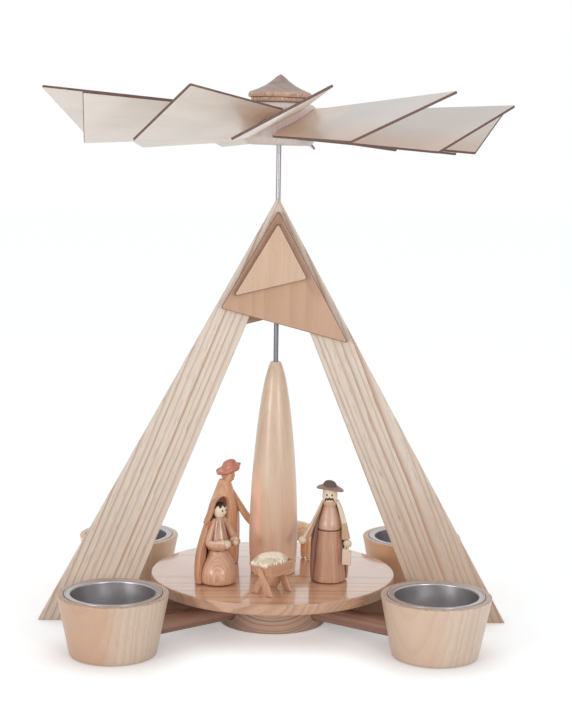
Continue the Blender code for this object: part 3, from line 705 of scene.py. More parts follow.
# ---------------------------------------------------------------- finishes
leg_slope = math.degrees(math.atan2(mitre_base, inner_foot))
ash_planks = {
    side: wood_finish(
        "ash_" + side + "_plank", (213, 198, 184), (166, 126, 96), (164, 130, 104), grain, (-420.0, -60.0),
        ring=3.3, wander=2.6, start=0.5, line=0.85, pores=0.75, fibre=0.18, patch=0.05, rough=0.48, relief=0.06,
        tints=((where_axis("Y", high, 10.0, most, 30.0, 0.03), tint),),
    )
    for side, grain, high, most, tint in (
        ("left", -leg_slope, 70.0, 0.15, (186, 150, 124)), ("right", leg_slope - 180.0, 90.0, 0.5, (184, 146, 120))
    )
}
# Painted shade: the rails' ash is darkened to the shade under the turntable, and the arm dowels share it.
rail_wood_painted_shade = wood_finish(
    "rail_ash", (160, 122, 104), (120, 84, 68), (100, 70, 56), "x", (-60.0, 20.0), ring=3.4, wander=4.0, line=0.7,
    pores=0.4, rough=0.5,
)
block_wood = wood_finish(
    "block_alder", (190, 157, 137), (126, 92, 74), (126, 92, 74), "y", (0.0, 42.0), ring=2.0, wander=3.0,
    start=0.35, line=0.95, coat=0.15,
)
table_wood = wood_finish(
    "varnished_alder", (210, 164, 133), (146, 98, 70), (144, 98, 74), "x", (10.0, -22.0), ring=5.2, wander=7.0,
    start=0.55, line=0.62, pores=0.35, fibre=0.12, rough=0.34, coat=1.0, coat_ior=1.9, relief=0.03,
)
rim_wood = wood_finish(
    "table_rim", (188, 149, 124), (148, 106, 82), (136, 96, 74), 20.0, (-30.0, 14.0), ring=1.9, wander=12.0,
    start=0.2, line=0.6, pores=0.6, fibre=0.3, patch=0.3, rough=0.4, coat=0.2, coat_rough=0.3, relief=0.04,
)
# Each cup is warmer on its left side, with a darker and broken tone on the rim
cup_finishes = {
    where: wood_finish(
        "cup_" + where, pale, dark, (176, 142, 118), "z", (-90.0, 60.0), ring=3.1, wander=5.0, start=0.3,
        line=0.45, pores=0.25, fibre=0.14, patch=0.08, coat=0.12, relief=0.03, tool=0.05, sheen=sheen,
        tints=(
            (where_axis("X", 7.0, -5.0, most, 16.0, 0.07), side_tint),
            (where_axis("Z", 29.0, 29.35, 0.55, 0.5, 0.3), (172, 146, 128)),
            (both(where_axis("Z", 29.0, 29.35), in_streaks(0.8, 0.8, 0.45, 0.7, 0.5)), (112, 86, 72)),
        ),
    )
    for where, pale, dark, side_tint, most, sheen in (
        ("front_left", (206, 184, 165), (188, 156, 132), (192, 150, 119), 0.7, 0.0),
        ("front_right", (212, 190, 171), (190, 160, 138), (204, 168, 142), 0.5, 0.0),
        # Painted light: the rear cups are paler and warmer than the front ones, for the light and warm reflections
        # that show on them behind the base.
        ("rear_left", (255, 226, 196), (255, 206, 160), (255, 212, 168), 0.5, 0.5),
        ("rear_right", (252, 208, 168), (240, 188, 144), (252, 200, 156), 0.5, 0.3),
    )
}
column_wood_painted_light = wood_finish(
    "turned_column", (206, 178, 153), (186, 152, 126), (176, 140, 114), "z", (-90.0, 40.0), ring=2.9, wander=3.0,
    start=0.3, line=0.4, pores=0.2, fibre=0.12, patch=0.05, rough=0.38, coat=0.6, coat_rough=0.3, relief=0.03,
    sheen=0.5,
    tints=(
        # Painted light: warmer towards the foot for light reflected from the table, and lighter on the lower sides
        # and on the right side.
        (where_axis("Z", 84.0, 30.0, 0.6, 10.0, 0.06), (202, 152, 122)),
        (both(where_axis("X", -4.0, -9.0, 0.9), where_axis("Z", 92.0, 60.0)), (242, 188, 156)),
        (both(where_axis("X", 4.0, 9.0, 0.8), where_axis("Z", 92.0, 60.0)), (236, 184, 150)),
        (where_axis("X", 4.0, 9.0, 0.5), (236, 208, 182)),
    ),
)
plate_wood = wood_finish(
    "plate_alder", (191, 154, 127), (174, 134, 106), (160, 118, 92), "x", (-40.0, 60.0), ring=4.6, wander=4.0,
    start=0.2, pores=0.2, fibre=0.08, patch=0.08, rough=0.4, coat=0.1,
    tints=[
        (both(past_edge(side, -5.4, -4.4, most), where_axis("X", -46.0, -38.0)), (142, 106, 84))
        for side, most in (((0.4966, 0.8680), 0.52), ((0.4805, -0.8770), 0.28))
    ],
)
panel_wood = wood_finish(
    "panel_alder", (204, 173, 147), (188, 154, 127), (172, 136, 108), "x", (-60.0, 60.0), ring=2.9, wander=3.0,
    start=0.2, line=0.3, pores=0.35, fibre=0.12, patch=0.06, coat=0.1,
)
plate_edge = wood_finish(
    "board_edge", (136, 98, 80), (92, 62, 50), (84, 56, 44), "x", (-40.0, 16.0), ring=3.3, line=0.6, rough=0.5
)
# Painted light and shade on the vanes: the upper faces are greyed as painted shade, and a warm glow near the hub
# and along the lower edge is painted reflected light.
painted_glow_near_hub, upper_face = where_axis("X", 60.0, 18.0, 0.75, 26.0, 0.05), where_axis("Z", -0.2, 0.2)
vane_wood_painted_light = wood_finish(
    "vane_veneer", (238, 228, 218), (222, 208, 196), (210, 192, 178), "x", (-30.0, 120.0), ring=7.0, wander=14.0,
    start=0.2, line=0.3, pores=0.2, fibre=0.07, rough=0.36, coat=0.35, coat_rough=0.25,
    tints=(
        (where_axis("Z", -0.2, 0.2, 0.68), (194, 186, 183)),
        (both(where_axis("Y", 2.0, -24.0, 0.6), upper_face), (206, 176, 154)),
        (painted_glow_near_hub, (252, 228, 206)),
        (both(painted_glow_near_hub, where_axis("Z", -0.2, 0.2, 0.5)), (214, 174, 148)),
    ),
)
vane_edge = wood_finish(
    "scorched_edge", (112, 82, 74), (70, 48, 44), (60, 40, 36), "x", (-30.0, 20.0), ring=1.2, line=0.6, rough=0.6
)
hub_wood = wood_finish(
    "turned_hub", (214, 200, 194), (190, 168, 158), (176, 150, 138), "z", (-60.0, 40.0), ring=1.6, start=0.2,
    line=0.35, fibre=0.16, rough=0.45, tool=0.2,
)
rings_below = where_axis("Z", 14.6, 13.9)
cap_wood = wood_finish(
    "turned_cap", (176, 156, 147), (126, 102, 92), (120, 94, 84), "z", (-60.0, 60.0), ring=0.95, wander=1.4,
    start=0.1, line=0.9, fibre=0.16, rough=0.45, relief=0.06, tool=1.0,
    tints=(
        (where_axis("Z", 14.6, 13.9, 0.75), (206, 172, 148)),
        (both(rings_below, in_streaks(2.4, 0.3, 0.46, 0.6, 0.75)), (140, 98, 70)),
        (both(rings_below, in_streaks(2.8, 0.3, 0.52, 0.64, 0.7)), (226, 204, 186)),
    ),
)
glossy_robe = wood_finish(
    "glossy_robe", (214, 166, 134), (146, 98, 70), (136, 92, 68), "z", (-13.0, 13.0), ring=1.1, wander=7.0,
    start=0.15, line=0.55, pores=0.6, patch=0.2, rough=0.36, coat=0.7, coat_rough=0.26,
)
jacket_wood = wood_finish(
    "glossy_jacket", (198, 158, 134), (170, 126, 102), (150, 108, 86), "z", (-20.0, 8.0), ring=2.1, wander=1.4,
    start=0.3, line=0.4, rough=0.36, coat=0.7, coat_rough=0.26,
)
satin_looks = dict(
    grain="z", pith=(-17.0, 9.0), ring=1.9, wander=1.2, pores=0.35, patch=0.12, rough=0.38, coat_rough=0.16
)
pale_robe = wood_finish(
    "pale_robe", (190, 147, 124), (152, 108, 88), (140, 100, 80), line=0.55, coat=0.5, **satin_looks
)
inside_fold = both(
    both(where_axis("X", 2.4, 1.6), where_axis("Y", -1.2, -2.2)),
    both(where_axis("Z", 20.8, 21.6), where_axis("Z", 24.2, 23.0, 0.7)),
)
folded_sleeve = wood_finish(
    "folded_sleeve", (196, 150, 120), (156, 110, 86), (142, 100, 78), coat=0.4,
    tints=((inside_fold, (234, 206, 178)),), **satin_looks
)
cloak_looks = dict(grain="z", pith=(-20.0, 9.0), ring=1.9, wander=1.4, pores=0.35, patch=0.14)
dark_cloak = wood_finish(
    "dark_cloak", (198, 144, 108), (150, 96, 68), (128, 84, 60), line=0.6, rough=0.36, coat=0.35,
    tints=(
        (where_axis("Z", 28.0, 33.0, 0.4), (180, 128, 96)),
        # Painted shade: the inside of the cloak is darker in its lower part.
        (both(beyond_radius(9.4, 8.6, 0.6), where_axis("Z", 22.0, 18.0)), (160, 108, 84)),
    ),
    **cloak_looks
)
# Painted shade: the cloak's dark plum is the shade of its hollow behind the robe, and it grades to the cloak's lit
# tone towards the hem and on the right side.
plum_cloak = wood_finish(
    "plum_cloak", (130, 92, 84), (104, 72, 68), (92, 62, 56), rough=0.55,
    tints=(
        (where_axis("Z", 18.0, 6.0, 0.6, 2.0, 0.2), (176, 128, 104)),
        (where_axis("X", 3.0, 6.5, 0.85, 1.0, 0.3), (190, 146, 124)),
    ),
    **cloak_looks
)
robe_wood = wood_finish(
    "robe_alder", (184, 138, 111), (150, 104, 80), (134, 92, 70), "z", (-24.0, 12.0), ring=2.4, wander=2.2,
    start=0.15, line=0.55, pores=0.55, fibre=0.2, patch=0.26, rough=0.4, coat=0.35, coat_rough=0.18,
)
plain_looks = dict(grain="z", pith=(-20.0, 9.0), ring=2.0, wander=1.4, rough=0.4, coat=0.3)
gown_wood = wood_finish(
    "gown_cherry", (224, 174, 136), (172, 120, 84), (150, 102, 72), line=0.6, pores=0.35,
    tints=((where_axis("X", -3.0, -8.5, 0.6, 2.0, 0.3), (222, 190, 162)),), **plain_looks
)
# Painted shade: the left sleeve is darker, as the figure's shaded side.
sleeve_wood_painted_shade = wood_finish(
    "sleeve_tan", (184, 150, 118), (156, 120, 92), (140, 106, 80),
    tints=((where_axis("X", -4.0, -6.5, 0.85), (164, 118, 90)),), **plain_looks
)
arm_wood = wood_finish("sleeve_cherry", (214, 168, 130), (176, 126, 92), (156, 110, 80), **plain_looks)
# Painted light: this cream finish goes on the sleeve faces turned to the light.
sleeve_painted_light = wood_finish("sleeve_cream", (214, 195, 174), (190, 158, 132), (176, 140, 116), **plain_looks)
crib_wood = wood_finish(
    "crib_alder", (198, 152, 122), (158, 112, 86), (140, 98, 74), "x", (-28.0, 15.0), ring=1.9, wander=1.2,
    pores=0.35, rough=0.4, coat=0.25,
)
cream_paint = paint_finish("cream_paint", (212, 189, 167), (202, 170, 142), 0.35, 0.45)
skin_paint = paint_finish("skin_paint", (230, 208, 184), (216, 182, 150), 0.25, 0.45)
beard_paint = paint_finish("beard_paint", (200, 166, 140), (176, 140, 114), 0.5, 0.5)
tan_paint = paint_finish("tan_paint", (222, 184, 152), (204, 158, 122), 0.4, 0.5)
hat_paint = paint_finish(
    "hat_stain", (94, 74, 68), (132, 100, 86), 0.6, 0.42, tints=((beyond_radius(3.5, 4.4, 0.75), (158, 124, 112)),)
)
hair_paint = paint_finish("black_paint", (46, 38, 40), (84, 66, 60), 0.3, 0.45)
brown_paint = paint_finish("brown_paint", (196, 146, 110), (214, 170, 132), 0.5, 0.5)
red_paint = paint_finish("red_stain", (202, 132, 112), (238, 186, 164), 1.0, 0.45, 0.1)
lip_paint = paint_finish("lip_paint", (186, 118, 100), (200, 130, 112), 0.3, 0.45)
wool_paint = paint_finish("wool_stain", (255, 230, 194), (255, 188, 136), 1.0, 0.55, 0.12, sheen=0.7)
limb_paint = paint_finish("limb_stain", (255, 206, 160), (255, 240, 216), 1.0, 0.5, sheen=0.5)
straw_paint = paint_finish("straw_paint", (244, 231, 212), (222, 198, 170), 0.8, 0.5, 0.1)
# Painted shade: the heap under the strands is darker than the strands.
straw_shade = paint_finish("straw_shade", (213, 195, 170), (184, 160, 132), 0.8, 0.6, 0.1)
spindle_steel = metal_finish(
    "drawn_steel", (156, 154, 154), 0.36, 0.35, 0.01, ((where_axis("Z", 190.0, 184.0, 0.85), (116, 112, 120)),)
)
insert_metal = metal_finish("pressed_metal", (184, 181, 183), 0.36, 0.5, 0.02)
bearing_brass = metal_finish("turned_brass", (214, 176, 112), 0.3, 0.4, 0.01)


# ---------------------------------------------------------------- frame, base and cups
def make_frame():
    mitre = 0.02
    outline = (
        (inner_foot, 0.0), (outer_foot, 0.0),
        (mitre, frame_peak * (1 - mitre / outer_foot)), (mitre, mitre_base * (1 - mitre / inner_foot)),
    )
    place = place_of((0.0, 0.0, 0.0), (1.0, 0.0, 0.0), (0.0, 0.0, 1.0))
    bore_foot = (0, 0, 170)
    bores = ((frame_peak + 5, spindle_radius + joint_gap), (mitre_base + 11.3, 2.9))
    for side, name in sides:
        mesh = board_mesh("plank", [(side * across, up) for across, up in outline], plank_thickness, 0.3, 0.14)
        leg = add_piece("plank_" + name, mesh, "base", "ash", [ash_planks[name]], ["leg_" + name], place, 20)
        cut(leg, [(rod_mesh("bore", bore_foot, (0, 0, top), radius), None) for top, radius in bores], 20)
    plate = ((0.0, 0.0), (-27.6, -48.2), (35.5, -64.8))
    panel = ((0.0, 0.0), (-21.4, -36.2), (14.8, -27.3))
    for where, side, rise in (("front", -1, 0.0), ("rear", 1, 1.9)):
        for what, outline, thickness, depth, drop, finish, slot in (
            ("_plate", plate, 3.0, 6.8, 6.2, plate_wood, "alder"),
            ("_panel", panel, 2.6, 9.9, 12.0, panel_wood, "maple"),
        ):
            place = place_of((0.0, side * depth, frame_peak - drop + rise), (0, 0, 1), (side, 0, 0))
            corners = [(up, -across) for across, up in outline]
            mesh = board_mesh("board", corners, thickness, 1.6, 0.35, True, (-1.0, 0.0, 0.0))
            name = where + what
            add_piece(name + "_board", mesh, "base", slot, [finish, plate_edge], [name], place, 20)


def make_foot_block():
    edge = 1.2
    rim = ((block_radius, 0.0, edge), (block_radius, block_height, edge))
    mesh = turned_mesh("block", eased(((0.0, 0.0), *rim, (0.0, block_height))), 128)
    block = add_piece("foot_block", mesh, "base", "alder", [block_wood], ["base_disc"])
    spaces = [rod_mesh("pocket", (0, 0, block_height - 5.3), (0, 0, block_height + 2), 4.8)]
    lift = Vector((0, 0, arm_height))
    for side in (-1, 1):
        spaces.append(slab_mesh(side * 25.7, 11.6, 0.7, 20.0))
        for along_side in (-1, 1):
            across = Vector((side * cup_across, along_side * cup_along, 0.0)).normalized()
            spaces.append(rod_mesh("bore", across * 18.1 + lift, across * 40 + lift, arm_radius + joint_gap))
    cut(block, [(space, None) for space in spaces])


def slab_mesh(middle, length, low, high):
    """A block of space across the foot block's side for a rail."""
    half, width = length / 2, plank_thickness / 2 + joint_gap
    corners = ((middle - half, -width), (middle + half, -width), (middle + half, width), (middle - half, width))
    return skinned_mesh("slab", [[(x, y, height) for x, y in corners] for height in (low, high)])


def make_rails():
    low, high, start = 1.0, block_height, block_radius - 6.0
    for side, name in sides:
        ends = [(side * (inner_foot * (1 - up / mitre_base) - joint_gap), up) for up in (low, high)]
        place = place_of((side * start, 0.0, low), (side, 0, 0), (0, 0, 1))
        corners = lay_flat([(side * start, low), *ends, (side * start, high)], place)
        mesh = board_mesh("rail", corners, plank_thickness, 0.4, 0.5)
        add_piece("rail_" + name, mesh, "base", "ash", [rail_wood_painted_shade], ["foot_rail_" + name], place, 20)


def make_cups():
    top, bottom = 26.5, 20.8
    floor, pocket, recess = 15.2, 20.8, 23.4
    seat = cup_height - 0.9
    turned = eased(
        (
            (0.0, 0.0), (bottom - 0.4, 0.0, 2.6), (bottom + (top - bottom) * 0.02, 1.4, 2.6),
            (top, cup_height, 0.9), (recess, cup_height, 0.4), (recess, seat, 0.1), (pocket, seat, 0.2),
            (pocket, floor, 0.4), (0.0, floor),
        ),
        6,
    )
    rolled = eased(
        (
            (0.0, 16.0), (20.0, 16.0, 1.6), (20.0, 29.55, 0.7), (22.3, 29.6, 0.25), (22.55, 29.85, 0.25),
            (23.1, 29.75, 0.3), (23.1, 29.0, 0.12), (20.5, 29.0, 0.5), (20.5, 15.5, 1.8), (0.0, 15.5),
        ),
        5,
    )
    edge = 0.5
    lift = Vector((0, 0, arm_height))
    for along_side, along_name in ((-1, "front_"), (1, "rear_")):
        for side, side_name in sides:
            where = along_name + side_name
            centre = Vector((side * cup_across, along_side * cup_along, 0.0))
            across = centre.normalized()
            place = shift_by(*centre)
            mesh = turned_mesh("cup", turned, 128)
            finish = cup_finishes[where]
            cup = add_piece("candle_cup_" + where, mesh, "base", "maple", [finish], ["cup_" + where], place)
            start = across * 18.4 + lift
            end = across * (centre.length - 22.6 + 4.0) + lift
            cut(cup, [(rod_mesh("bore", start, end + across * joint_gap, arm_radius + joint_gap), None)])
            mesh = turned_mesh("tin", rolled, 128)
            add_piece("tin_" + where, mesh, "base", "insert_metal", [insert_metal], ["insert_" + where], place)
            length = (end - start).length
            arm = [(0.0, 0.0), (arm_radius - edge, 0.0), (arm_radius, edge)]
            arm += [(radius, length - height) for radius, height in reversed(arm)]
            mesh = turned_mesh("arm", arm, 48)
            mesh.transform(turn_by(90, "Y"))
            place = place_of(start, across, (0, 0, 1))
            add_piece("arm_dowel_" + where, mesh, "base", "alder", [rail_wood_painted_shade], ["arm_" + where], place)


# ---------------------------------------------------------------- turntable, spindle and column
def make_table():
    radius, bottom, edge = 61.6, table_top - 5.3, 0.9
    bore = spindle_radius + joint_gap
    rim = ((radius, bottom, edge), (radius, table_top, edge))
    mesh = turned_mesh("table", eased(((bore, bottom), *rim, (bore, table_top))), 192, is_ring=True)
    table = add_piece("round_table", mesh, "rotor", "varnished_alder", [table_wood, rim_wood], ["turntable"])
    for face in table.data.polygons:
        if face.center.length > 60.0 * mm and abs(face.normal.z) < 0.9:
            face.material_index = 1


def make_column():
    foot, top, radius = stand_height, 132.3, 11.65
    bore = spindle_radius + joint_gap
    stations = 40
    profile = [(bore, foot)]
    for station in range(stations + 1):
        share = math.sin(right_angle * station / stations)
        reach = radius * (1 - (share / 1.02) ** 2) ** 0.48
        reach *= 1 + 0.062 * min(1.0, max(0.0, (0.82 - share) / 0.4))
        if share < 0.2:
            reach *= 1 - 0.1 * (1 - share / 0.2) ** 2
        profile.append((reach, foot + share * (top - foot)))
    mesh = turned_mesh("column", profile + [(bore, top)], 96, is_ring=True)
    add_piece("tall_column", mesh, "rotor", "maple", [column_wood_painted_light], ["column"])


def make_spindle():
    low, high, point, ease = 13.8, wheel_height + 8.99, 2.0, 0.4
    rod = ((spindle_radius, low + point, ease), (spindle_radius, high - point, ease))
    mesh = turned_mesh("spindle", eased(((0.0, low), *rod, (0.0, high))), 32)
    add_piece("steel_spindle", mesh, "rotor", "spindle_steel", [spindle_steel], ["spindle"])
    for name in ("spindle_bush", "thrust_bearing"):
        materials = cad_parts[name].data.materials
        materials.clear()
        materials.append(bearing_brass)


# ---------------------------------------------------------------- wheel
# How far each vane sits out of true, in degrees: round the wheel, in pitch and in droop
vane_trims = (
    (-0.7, 0.3, -0.5), (0.6, 0.3, -0.7), (0.6, 0.4, 1.0), (-0.4, -0.8, 0.8), (1.3, 0.4, 0.6), (0.8, 0.0, -0.2),
    (-0.2, 0.0, 0.0), (0.0, 0.0, 0.0), (-0.3, 0.4, 1.1), (0.3, -0.7, -0.6), (-1.0, -1.3, 1.4), (-1.0, 0.8, 0.2),
)


def make_wheel():
    half, thickness = 24.3, 1.2
    outline = ((113.4, half), (93.9, -half), (17.8, -16.8), (8.0, 10.6))
    slot_outline = ((113.5, half), (94.0, -half - 0.1), (17.7, -16.9), (7.9, 10.7))
    floor, top, radius = -11.3, 9.0, 18.1
    hub_profile = (
        (0.0, floor), (15.9, floor, 1.0), (17.6, floor + 2.6, 1.2), (radius, top - 2.1, 1.2),
        (16.3, top - 0.7, 0.8), (13.8, top, 0.3), (0.0, top),
    )
    mesh = turned_mesh("hub", eased(hub_profile), 96)
    mesh.transform(wheel_lean)
    hub = add_piece("slotted_hub", mesh, "wheel", "maple", [hub_wood], ["vane_hub"], wheel_place)
    low, high = ((0, 0, wheel_height + rise) for rise in (-20, 30))
    spaces = [(rod_mesh("bore", low, high, spindle_radius + 0.1), None)]
    for number, (round_trim, pitch_trim, droop) in enumerate(vane_trims):
        turn = turn_by(-90.2 + 30 * number + round_trim) @ turn_by(droop, "Y") @ turn_by(28.4 + pitch_trim, "X")
        place = wheel_place @ wheel_lean @ turn
        mesh = board_mesh("vane", outline, thickness, 0.9, 0.18, True)
        label, finishes = "%02d" % (number + 1), [vane_wood_painted_light, vane_edge]
        add_piece("blade_" + label, mesh, "wheel", "birch_ply", finishes, ["vane_" + label], place, 20)
        spaces.append((board_mesh("slot", slot_outline, thickness + 0.16, 0.1, 0.05), place))
    cut(hub, spaces)
    # Heights above the hub's top
    cap_profile = (
        (0.0, 0.0), (13.5, 0.0, 0.3), (14.2, 1.0, 0.3), (14.1, 1.9, 0.15), (13.1, 2.05, 0.05), (15.2, 2.25, 0.3),
        (15.7, 3.5, 0.8), (15.1, 4.75, 0.4), (11.5, 6.1, 1.6), (7.5, 8.0, 1.6), (4.3, 10.3, 1.6),
        (2.2, 12.2, 0.6), (0.0, 13.68),
    )
    seat = top + joint_gap
    mesh = turned_mesh("cap", eased([(across, seat + up, *rest) for across, up, *rest in cap_profile]), 96)
    mesh.transform(wheel_lean)
    add_piece("turned_cap", mesh, "wheel", "maple", [cap_wood], ["hub_cap"], wheel_place)


# ---------------------------------------------------------------- figures
def figure_at(across, along, turn):
    """A figure's place on the table, and what adds its pieces there."""
    stand = shift_by(across, along, stand_height) @ turn_by(turn)

    def add(name, mesh, slot, finishes, node=None, place=stand, **shading):
        return add_piece(name, mesh, "rotor", slot, finishes, [node] if node else (), place, **shading)

    return stand, add


def closed_turning(name, profile, foot, head, steps, form=None, per_span=5):
    """A turned shape with a smooth profile, closed at its foot and its head."""
    line = [Vector((0.0, foot)), *smooth_line(profile, per_span), Vector((0.0, head))]
    return turned_mesh(name, line, steps, form)


def growing(first, more, count):
    return [first + more * index / (count - 1) for index in range(count)]


def fluted(count, depth, low, high, phase=0.0):
    """A form that pleats a turned shape, deeper towards its hem."""

    def form(angle, radius, height):
        share = min(1.0, max(0.0, (high - height) / (high - low)))
        wave = math.cos(count * angle + phase) + 0.4 * math.cos((2 * count + 1) * angle + 1.3)
        reach = radius * (1 + depth * share * wave)
        return (reach * math.cos(angle), reach * math.sin(angle), height)

    return form


def add_face(add, name, centre, radius, eye_size, place):
    """A calm doll's face on the front of a head: two eyes, a nose and a mouth."""
    x, y, z = centre
    front, eye_across = y - radius, 1.15
    depth = y - math.sqrt(radius**2 - eye_across**2) * 0.985
    size = (eye_size, 0.16, eye_size * 1.25)
    eyes = [ball_mesh("eye", (x + side * eye_across, depth, z + 0.25), size, 8) for side in (-1, 1)]
    nose = ball_mesh("nose", (x, front + 0.12, z - 0.5), (0.34, 0.42, 0.52), 8)
    line = [(x - 0.62, front + 0.42, z - 1.5), (x, front + 0.2, z - 1.68), (x + 0.62, front + 0.42, z - 1.5)]
    mouth = tube_mesh("mouth", smooth_line(line, 4), [0.13] * 9, 8)
    add(name + "_eyes", join_meshes("eyes", eyes), "dark_paint", [hair_paint], None, place)
    add(name + "_nose", nose, "cream_paint", [skin_paint], None, place)
    add(name + "_mouth", mouth, "cream_paint", [lip_paint], None, place)


def hair_mesh(head, radius, brow, teeth, tooth, nape=-0.45):
    """A cap of painted hair with a toothed fringe, down to the nape and up at the brow."""
    count = 10
    rings = []
    for number in range(count + 1):
        reach = radius * (1 if number < count else 0.9)
        ring = []
        for angle in ring_angles(72):
            facing = max(0.0, -math.sin(angle))
            low = nape + (brow / radius + 0.1 - nape) * min(1.0, facing * 1.6)
            wave = abs(((angle * teeth / math.pi) % 2) - 1) * 2 - 1
            low += wave * tooth / radius * 0.5
            polar = math.acos(max(-0.9, min(0.9, low))) * number / count
            wide, high = reach * math.sin(polar), reach * math.cos(polar) * 1.1
            ring.append((head[0] + wide * math.cos(angle), head[1] + wide * math.sin(angle), head[2] + high))
        rings.append(ring)
    return skinned_mesh("hair", rings, (-1,))


def mantle_rows(profile, sweeps):
    """Rows of (radius, height, sweep) from a smooth profile and the sweep at shares of its length."""
    line = smooth_line(profile, 4)
    last = len(line) - 1
    return [(point.x, point.y, along_steps(sweeps, index / last)) for index, point in enumerate(line)]


def make_kneeling_woman():
    place, add = figure_at(-27.5, -22.4, 45)
    skirt = (
        (7.4, 0.0), (8.7, 0.5), (9.3, 2.2), (9.45, 4.4), (9.1, 7.0), (8.1, 9.8), (6.6, 12.4), (5.4, 14.4),
        (4.9, 15.6), (5.1, 16.5),
    )
    mesh = closed_turning("skirt", skirt, 0.0, 16.5, 64)
    add("kneeling_skirt", mesh, "alder", [glossy_robe], "mary_skirt")
    bodice = ((5.2, 16.7), (5.7, 17.4), (5.2, 18.6), (4.6, 22.0), (3.5, 27.0), (2.6, 31.2), (2.0, 33.2))
    mesh = closed_turning("bodice", bodice, 16.7, 33.4, 72, fluted(7, 0.07, 14.0, 33.0, 0.6))
    add("kneeling_bodice", mesh, "maple", [pale_robe], "mary_bodice")
    left_route = (
        (-2.7, 0.2, 32.0), (-4.8, 0.4, 26.5), (-6.4, 0.2, 21.4), (-6.0, -2.2, 19.9), (-4.0, -4.8, 19.9),
        (-2.4, -6.2, 20.2),
    )
    right_route = (
        (2.6, -0.4, 32.0), (5.0, -1.3, 28.0), (6.4, -2.2, 24.6), (6.7, -3.8, 22.0), (5.8, -5.4, 21.1),
        (4.9, -6.6, 20.9),
    )
    limbs = []
    for route, palm, size in ((left_route, (-1.4, -7.5, 20.5), 2.15), (right_route, (3.9, -8.0, 20.6), 1.6)):
        line = smooth_line(route, 5)
        limbs.append(tube_mesh("sleeve", line, growing(1.3, 1.45, len(line)), 24, 1.0, 3))
        limbs.append(ball_mesh("hand", palm, (size, size, size), 14))
    mesh = join_meshes("arms", limbs, (0, 1, 0, 1))
    add("kneeling_arms", mesh, "maple", [folded_sleeve, cream_paint], "mary_arms")
    head = (-0.4, -1.2, 36.5)
    mesh = ball_mesh("head", head, (3.4, 3.4, 4.0), 20)
    add("kneeling_head", mesh, "cream_paint", [skin_paint], "mary_head")
    add_face(add, "kneeling", head, 3.4, 0.5, place)
    add("kneeling_hair", hair_mesh(head, 3.7, 1.5, 7, 1.5, 0.4), "dark_paint", [hair_paint])
    cloak = (
        (11.5, 0.2), (11.8, 4.0), (11.75, 8.0), (11.35, 12.2), (10.4, 17.8), (8.7, 24.4), (7.2, 29.0), (5.2, 31.8)
    )
    rows = mantle_rows(cloak, ((0.0, 158.0), (0.35, 160.0), (0.7, 168.0), (1.0, 190.0)))
    thicknesses = (
        (0.0, 2.5), (4.4, 2.2), (8.0, 2.7), (12.4, 4.2), (17.4, 3.8), (20.0, 2.6), (24.0, 2.0), (32.0, 1.4)
    )
    mesh = mantle_mesh("cloak", rows, thicknesses)
    add("kneeling_cloak", mesh, "cherry", [dark_cloak], "mary_cloak", sharp=50, refine=1)
    # Each point of the hood is its radius, its height and how far back its front edge stands
    hood = (
        (7.6, 29.7, 1.1), (7.3, 31.0, 0.4), (6.9, 32.6, -0.1), (6.3, 34.8, -0.4), (5.9, 37.0, -0.5),
        (5.65, 39.0, -0.6), (5.0, 40.8, -0.8), (3.9, 42.2, -1.0), (2.5, 43.1, -1.1), (1.3, 43.5, -1.1),
        (0.5, 43.6, -0.5),
    )
    rows = []
    for point in smooth_line(hood, 3):
        share = min(1.0, max(-1.0, point.z / point.x))
        rows.append((point.x, point.y, 2 * math.degrees(math.acos(share))))

    def tip_forward(point):
        return Vector((point.x, point.y - 2.0 * max(0.0, point.z - 30.0) / 13.0, point.z))

    mesh = mantle_mesh("hood", rows, ((0.0, 1.7), (50.0, 1.7)), 44, tip_forward)
    add("kneeling_hood", mesh, "cherry", [dark_cloak], sharp=50, refine=1)


def wedge_sleeve(stations, flatten=1.6):
    """A carved sleeve from a narrow shoulder to a wide cuff. Stations are a place and half a width."""
    rings = []
    for *centre, size in smooth_line(stations, 5):
        ring = []
        for angle in ring_angles(28):
            across, deep = math.cos(angle), math.sin(angle)
            bulge = 1 / (abs(across) ** 3 + abs(deep) ** 3) ** (1 / 3)
            way = Vector((across * bulge * size, deep * bulge * flatten, across * bulge * 0.3))
            ring.append(Vector(centre) + way)
        rings.append(ring)
    return skinned_mesh("sleeve", rings)


